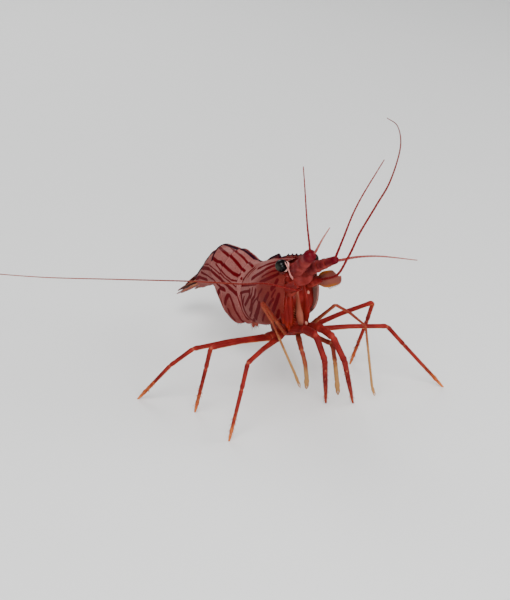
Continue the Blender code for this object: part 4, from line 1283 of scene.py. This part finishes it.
# hip, along and out from the middle of the carapace; then knee, turn, wrist, palm and tip
CLAW_LEGS = {
    "claw1_right": ((0.74, -0.065), ((-0.19, -1.42, 0.95), (-0.18, -1.44, 0.90), (-0.10, -1.36, 0.70),
                                     (0.03, -1.17, 0.40), (0.13, -1.00, 0.10))),
    "claw1_left": ((0.74, 0.065), ((0.18, -1.50, 1.00), (0.20, -1.52, 0.95), (0.25, -1.50, 0.72),
                                   (0.32, -1.44, 0.42), (0.42, -1.32, 0.10))),
    "claw2_right": ((0.58, -0.16), ((-0.52, -0.99, 1.50), (-0.56, -1.05, 1.50), (-0.42, -1.05, 1.25),
                                    (-0.18, -0.98, 0.75), (0.07, -0.94, 0.10))),
    "claw2_left": ((0.58, 0.16), ((0.28, -1.42, 1.48), (0.45, -1.49, 1.36), (0.69, -1.49, 1.12),
                                  (0.74, -1.49, 0.47), (0.83, -1.56, 0.10))),
}
# for each pair: height of the hip, radii, how far down the palm begins, half width and gape of the claw
CLAW_BUILD = {
    "1": (-0.99, (0.034, 0.034, 0.030, 0.029, 0.028, 0.027, 0.030), 0.05, 0.030, 0.010),
    "2": (-0.94, (0.028, 0.026, 0.022, 0.020, 0.019, 0.017, 0.018), 0.62, 0.018, 0.007),
}
PALM_SHAPE = ((0, 0.75), (0.4, 1.15), (0.8, 1.1), (1, 0.8))
FINGER_SHAPE = ((0, 0.52), (0.5, 0.42), (1, 0.12))
FOREARM_RINGS = 24


def claw(wrist, tip, thick, gape):
    """Palm, fixed finger and moving finger of a small pincer."""
    axis = tip - wrist
    long = np.linalg.norm(axis)
    axis = axis / long
    side = np.cross(axis, (0, 1, 0))
    side /= np.linalg.norm(side)
    t = np.linspace(0, 1, 24)[:, None]
    shape = curve_through(PALM_SHAPE, t[:, 0]) * thick
    palm = tube(wrist + axis * long * 0.62 * t, np.stack((shape, shape * 0.8), axis=1), 14, side,
                {"along": np.full(24, 0.9)})
    fingers = []
    for way in (1, -1):
        path = (wrist + axis * long * (0.56 + 0.44 * t)
                + side * way * (0.45 * thick + gape * np.sin(math.pi * t) * (0.9 if way > 0 else 0.4)))
        path = path - side * way * 0.38 * thick * t ** 2
        width = curve_through(FINGER_SHAPE, t[:, 0]) * thick
        fingers.append(tube(path, width, 10, marks={"along": np.ones(24)}))
    return [palm] + fingers


def ringed(part, first, last, count, depth):
    """Pinches a limb into rings between two shares of its length."""
    points, faces, marks = part
    along = marks["along"]
    inside = np.clip((along - first) / 0.02, 0, 1) * np.clip((last - along) / 0.02, 0, 1)
    pinch = depth * inside * (0.5 - 0.5 * np.cos(math.tau * count * (along - first) / (last - first)))
    where = np.unique(np.round(along * 1e5).astype(int), return_inverse=True)[1].ravel()
    middle = np.stack([np.bincount(where, values) / np.bincount(where) for values in points.T], axis=1)[where]
    marks["joint"] = np.maximum(marks["joint"], inside * np.clip(pinch / depth - 0.6, 0, 1) * 1.2)
    return middle + (points - middle) * (1 - pinch)[:, None], faces, marks


def make_claw_legs(material):
    for name, ((along, out), bends) in CLAW_LEGS.items():
        pair, word = name[4:].split("_")
        up, thick, start, size, gape = CLAW_BUILD[pair]
        hip = body(along, up, out)
        knee, turn, wrist, palm, tip = np.array(bends)
        mid = hip + (knee - hip) * 0.4
        palm = palm + (tip - palm) * start
        points = (hip, mid, mid + (knee - mid) * 0.6, knee, turn, wrist, palm)
        arm = limb(points, thick, (1, 3, 5), corner=0.03)
        if pair == "2":
            arm = ringed(arm, 0.50, 0.96, FOREARM_RINGS, 0.16)
        make_piece("pincer_leg_%s_%s" % (pair, word), [arm] + claw(palm, tip, size, gape), material,
                   [name + "_upper", name + "_lower"])


claw_paint = limb_paint("claw_leg", (0.14, 0.015, 0.010, 1), (0.18, 0.030, 0.018, 1), (0.25, 0.065, 0.028, 1),
                        (0.28, 0.07, 0.03, 1), (0.34, 0.17, 0.06, 1), 0.60, 0.72)
make_claw_legs(claw_paint)


# ------------------------------------------------------------------ walking legs
# Three long thin pairs. Each has seven joints; the short hip joints are hidden between the others, and the
# last joint is a small claw with spines under it. Bright red, orange along the edges and at the tips.

# place of the hip along the carapace, then knee, wrist and foot
WALKING_LEGS = {
    "leg3_right": (0.46, (-0.99, -1.52, 1.02), (-1.08, -1.53, 0.68), (-1.263, -1.54, 0)),
    "leg4_right": (0.33, (-1.24, -1.00, 1.04), (-1.275, -0.92, 0.72), (-1.347, -0.716, 0)),
    "leg5_right": (0.20, (-1.26, -0.51, 0.80), (-1.53, -0.38, 0.56), (-1.872, -0.078, 0)),
    "leg3_left": (0.46, (1.21, -1.19, 0.86), (1.40, -1.32, 0.60), (1.854, -1.623, 0)),
    "leg4_left": (0.33, (1.22, -0.81, 1.04), (1.19, -0.73, 0.74), (1.078, -0.517, 0)),
    "leg5_left": (0.20, (0.72, 0.28, 0.94), (0.80, 0.42, 0.62), (0.95, 0.62, 0)),
}
WALKING_LEG_THICKNESS = (0.043, 0.039, 0.032, 0.029, 0.026, 0.022, 0.012)
HIP_HEIGHT = -0.94


def make_walking_legs(material, hair):
    for name, (along, *bends) in WALKING_LEGS.items():
        number, word = name[3:].split("_")
        side = 1 if word == "left" else -1
        hip, socket = body(along, HIP_HEIGHT, side * 0.12), body(along, HIP_HEIGHT, side * 0.165)
        knee, wrist, foot = np.array(bends)
        out = (knee - socket) * (1, 1, 0)
        basis = socket + out / np.linalg.norm(out) * 0.10 - np.array((0, 0, 0.03))
        mid = (basis + knee) / 2 + np.array((0, 0, 0.02))
        hand = wrist + (foot - wrist) * 0.85
        leg = limb((hip, basis, mid, knee, wrist, hand, foot), WALKING_LEG_THICKNESS, (1, 3, 4, 5), 16, 0.04)
        make_piece("walking_leg_%s_%s" % (number, word), [to_floor(leg)], material,
                   [name + "_upper", name + "_lower"])
        roots, ways = brush(wrist + (hand - wrist) * 0.45, hand, (0.027, 0.022), count=26, reach=0.030,
                            spread=0.8, seed=int(number))
        bristles("leg_spines_%s_%s" % (number, word), roots, ways, 0.007, hair,
                 [name + "_lower"])


leg_paint = limb_paint("walking_leg", (0.13, 0.008, 0.008, 1), (0.21, 0.017, 0.013, 1),
                       (0.52, 0.15, 0.035, 1), (0.36, 0.08, 0.04, 1), (0.50, 0.14, 0.035, 1))
make_walking_legs(leg_paint, brush_hair)


# ------------------------------------------------------------------ swimmerets
# Two paddles under each of the first five tail segments, which beat to swim. Each is a pair of soft oval
# blades of thin skin, hinged at the root and fringed with bristles.

# share of each segment's length at which its paddles hang
PADDLE_PLACE = (0.65, 0.65, 0.65, 0.62, 0.80)
PADDLE_WIDTH = ((0, 0.05), (0.35, 0.075), (0.7, 0.075), (1, 0.05))


def under_belly(k, share, out):
    """Where the paddles of segment k (0 to 4) hang, at a share of its depth under the back."""
    spots = []
    for j in (k - 1, k):
        if j < 0:
            spots.append(body(-0.12, -share * 0.79, out))
            continue
        back, height, slope = tail_joints()[j]
        drop = share * SOMITES[j][3]
        spots.append(tail_place(back + drop * math.sin(slope), height - drop * math.cos(slope), out))
    return spots[0] + (spots[1] - spots[0]) * PADDLE_PLACE[k]


def make_swimmerets(material, hair):
    outline = oval(PADDLE_WIDTH, 0.25)
    across = tail_place(0, 0, 1) - tail_place(0, 0, 0)
    for k in range(5):
        paddles, roots, ways = [], [], []
        for side in (-1, 1):
            root = under_belly(k, 0.74, side * 0.09)
            tip = under_belly(k, 1.07 if k < 3 else 0.90, side * 0.11)
            face = np.cross(tip - root, across)
            face /= np.linalg.norm(face)
            for lean in (-1, 1):
                top, end = root + across * lean * 0.012, tip + across * lean * 0.030
                paddles.append(leaf(top, end, face, outline, lambda t: 0.020 - 0.01 * t, rows=24, around=16))
                more = leaf_fringe(top, end, face, outline, reach=0.045, first=0.50, count=12)
                roots += more[0]
                ways += more[1]
        nodes = ["abdomen_%d" % (k + 1)]
        make_piece("swimmerets_%d" % (k + 1), paddles, material, nodes)
        bristles("swimmeret_fringe_%d" % (k + 1), roots, ways, 0.006, hair, nodes)


paddle_paint = blade_paint("swimmeret", (0.26, 0.07, 0.055, 1), (0.32, 0.11, 0.09, 1), (0.26, 0.06, 0.045, 1),
                           (0.18, 0.012, 0.012, 1))
make_swimmerets(paddle_paint, fan_hair)


# ------------------------------------------------------------------ floor, light and camera
# A plain pale studio floor that curves up all round, four large soft lamps, and the camera in front and to
# the animal's right, looking a little down on it.

FLAT_FLOOR = 0.45                       # radius of the flat part, metres
FLOOR_BEND = 0.30                       # radius of the bend up into the wall
AROUND = 96
LIGHT_AIM = Vector((0, 0, 0.015))
# place, size and power of each lamp
LAMPS = {
    "key": ((-0.10, -0.16, 0.28), 0.18, 1.05),
    "fill": ((0.25, -0.12, 0.16), 0.20, 0.45),
    "front": ((-0.06, -0.25, 0.08), 0.12, 0.40),
    "back": ((0.02, 0.28, 0.22), 0.18, 0.60),
}

bend = np.linspace(0, math.pi / 2, 13)
wall = FLAT_FLOOR + FLOOR_BEND
reach = np.concatenate(([0.10, 0.20, 0.30, 0.40], FLAT_FLOOR + FLOOR_BEND * np.sin(bend), [wall, wall]))
height = np.concatenate((np.zeros(4), FLOOR_BEND * (1 - np.cos(bend)), [0.60, 0.90]))
around = np.linspace(0, math.tau, AROUND, endpoint=False)
bowl = np.stack((np.outer(reach, np.cos(around)), np.outer(reach, np.sin(around)),
                 np.repeat(height[:, None], AROUND, axis=1)), axis=-1)
bowl_faces = grid_faces(len(reach), AROUND, closed=True) + [tuple(range(AROUND))]
floor_mesh = bpy.data.meshes.new("studio_floor")
floor_mesh.from_pydata(bowl.reshape(-1, 3).tolist(), [], bowl_faces)
floor_mesh.shade_smooth()
studio_floor = bpy.data.objects.new("studio_floor", floor_mesh)
bpy.context.scene.collection.objects.link(studio_floor)
floor_paint = bpy.data.materials.new("floor_paint")
floor_paint.use_nodes = True
floor_shader = floor_paint.node_tree.nodes["Principled BSDF"]
floor_shader.inputs["Base Color"].default_value = (0.80, 0.80, 0.79, 1)
floor_shader.inputs["Roughness"].default_value = 0.7
floor_mesh.materials.append(floor_paint)

world = bpy.data.worlds.new("studio")
world.use_nodes = True
sky = world.node_tree.nodes["Background"]
sky.inputs["Color"].default_value = (0.92, 0.95, 1.0, 1)
sky.inputs["Strength"].default_value = 0.40
bpy.context.scene.world = world

for name, (place, size, power) in LAMPS.items():
    light = bpy.data.lights.new(name, "AREA")
    light.size = size
    light.energy = power
    lamp = bpy.data.objects.new(name, light)
    lamp.location = place
    lamp.rotation_euler = (LIGHT_AIM - Vector(place)).to_track_quat("-Z", "Y").to_euler()
    bpy.context.scene.collection.objects.link(lamp)

CAMERA_TURN = math.radians(-27)
CAMERA_RISE = math.radians(26)
back = Vector((math.sin(CAMERA_TURN) * math.cos(CAMERA_RISE), -math.cos(CAMERA_TURN) * math.cos(CAMERA_RISE),
               math.sin(CAMERA_RISE)))
camera = bpy.data.objects.new("camera", bpy.data.cameras.new("camera"))
camera.location = (-0.08300, -0.16770, 0.10031)
camera.rotation_euler = back.to_track_quat("Z", "Y").to_euler()
camera.data.sensor_width = 36.0
camera.data.lens = 79.30
camera.data.clip_start = 0.01
bpy.context.scene.collection.objects.link(camera)
bpy.context.scene.camera = camera
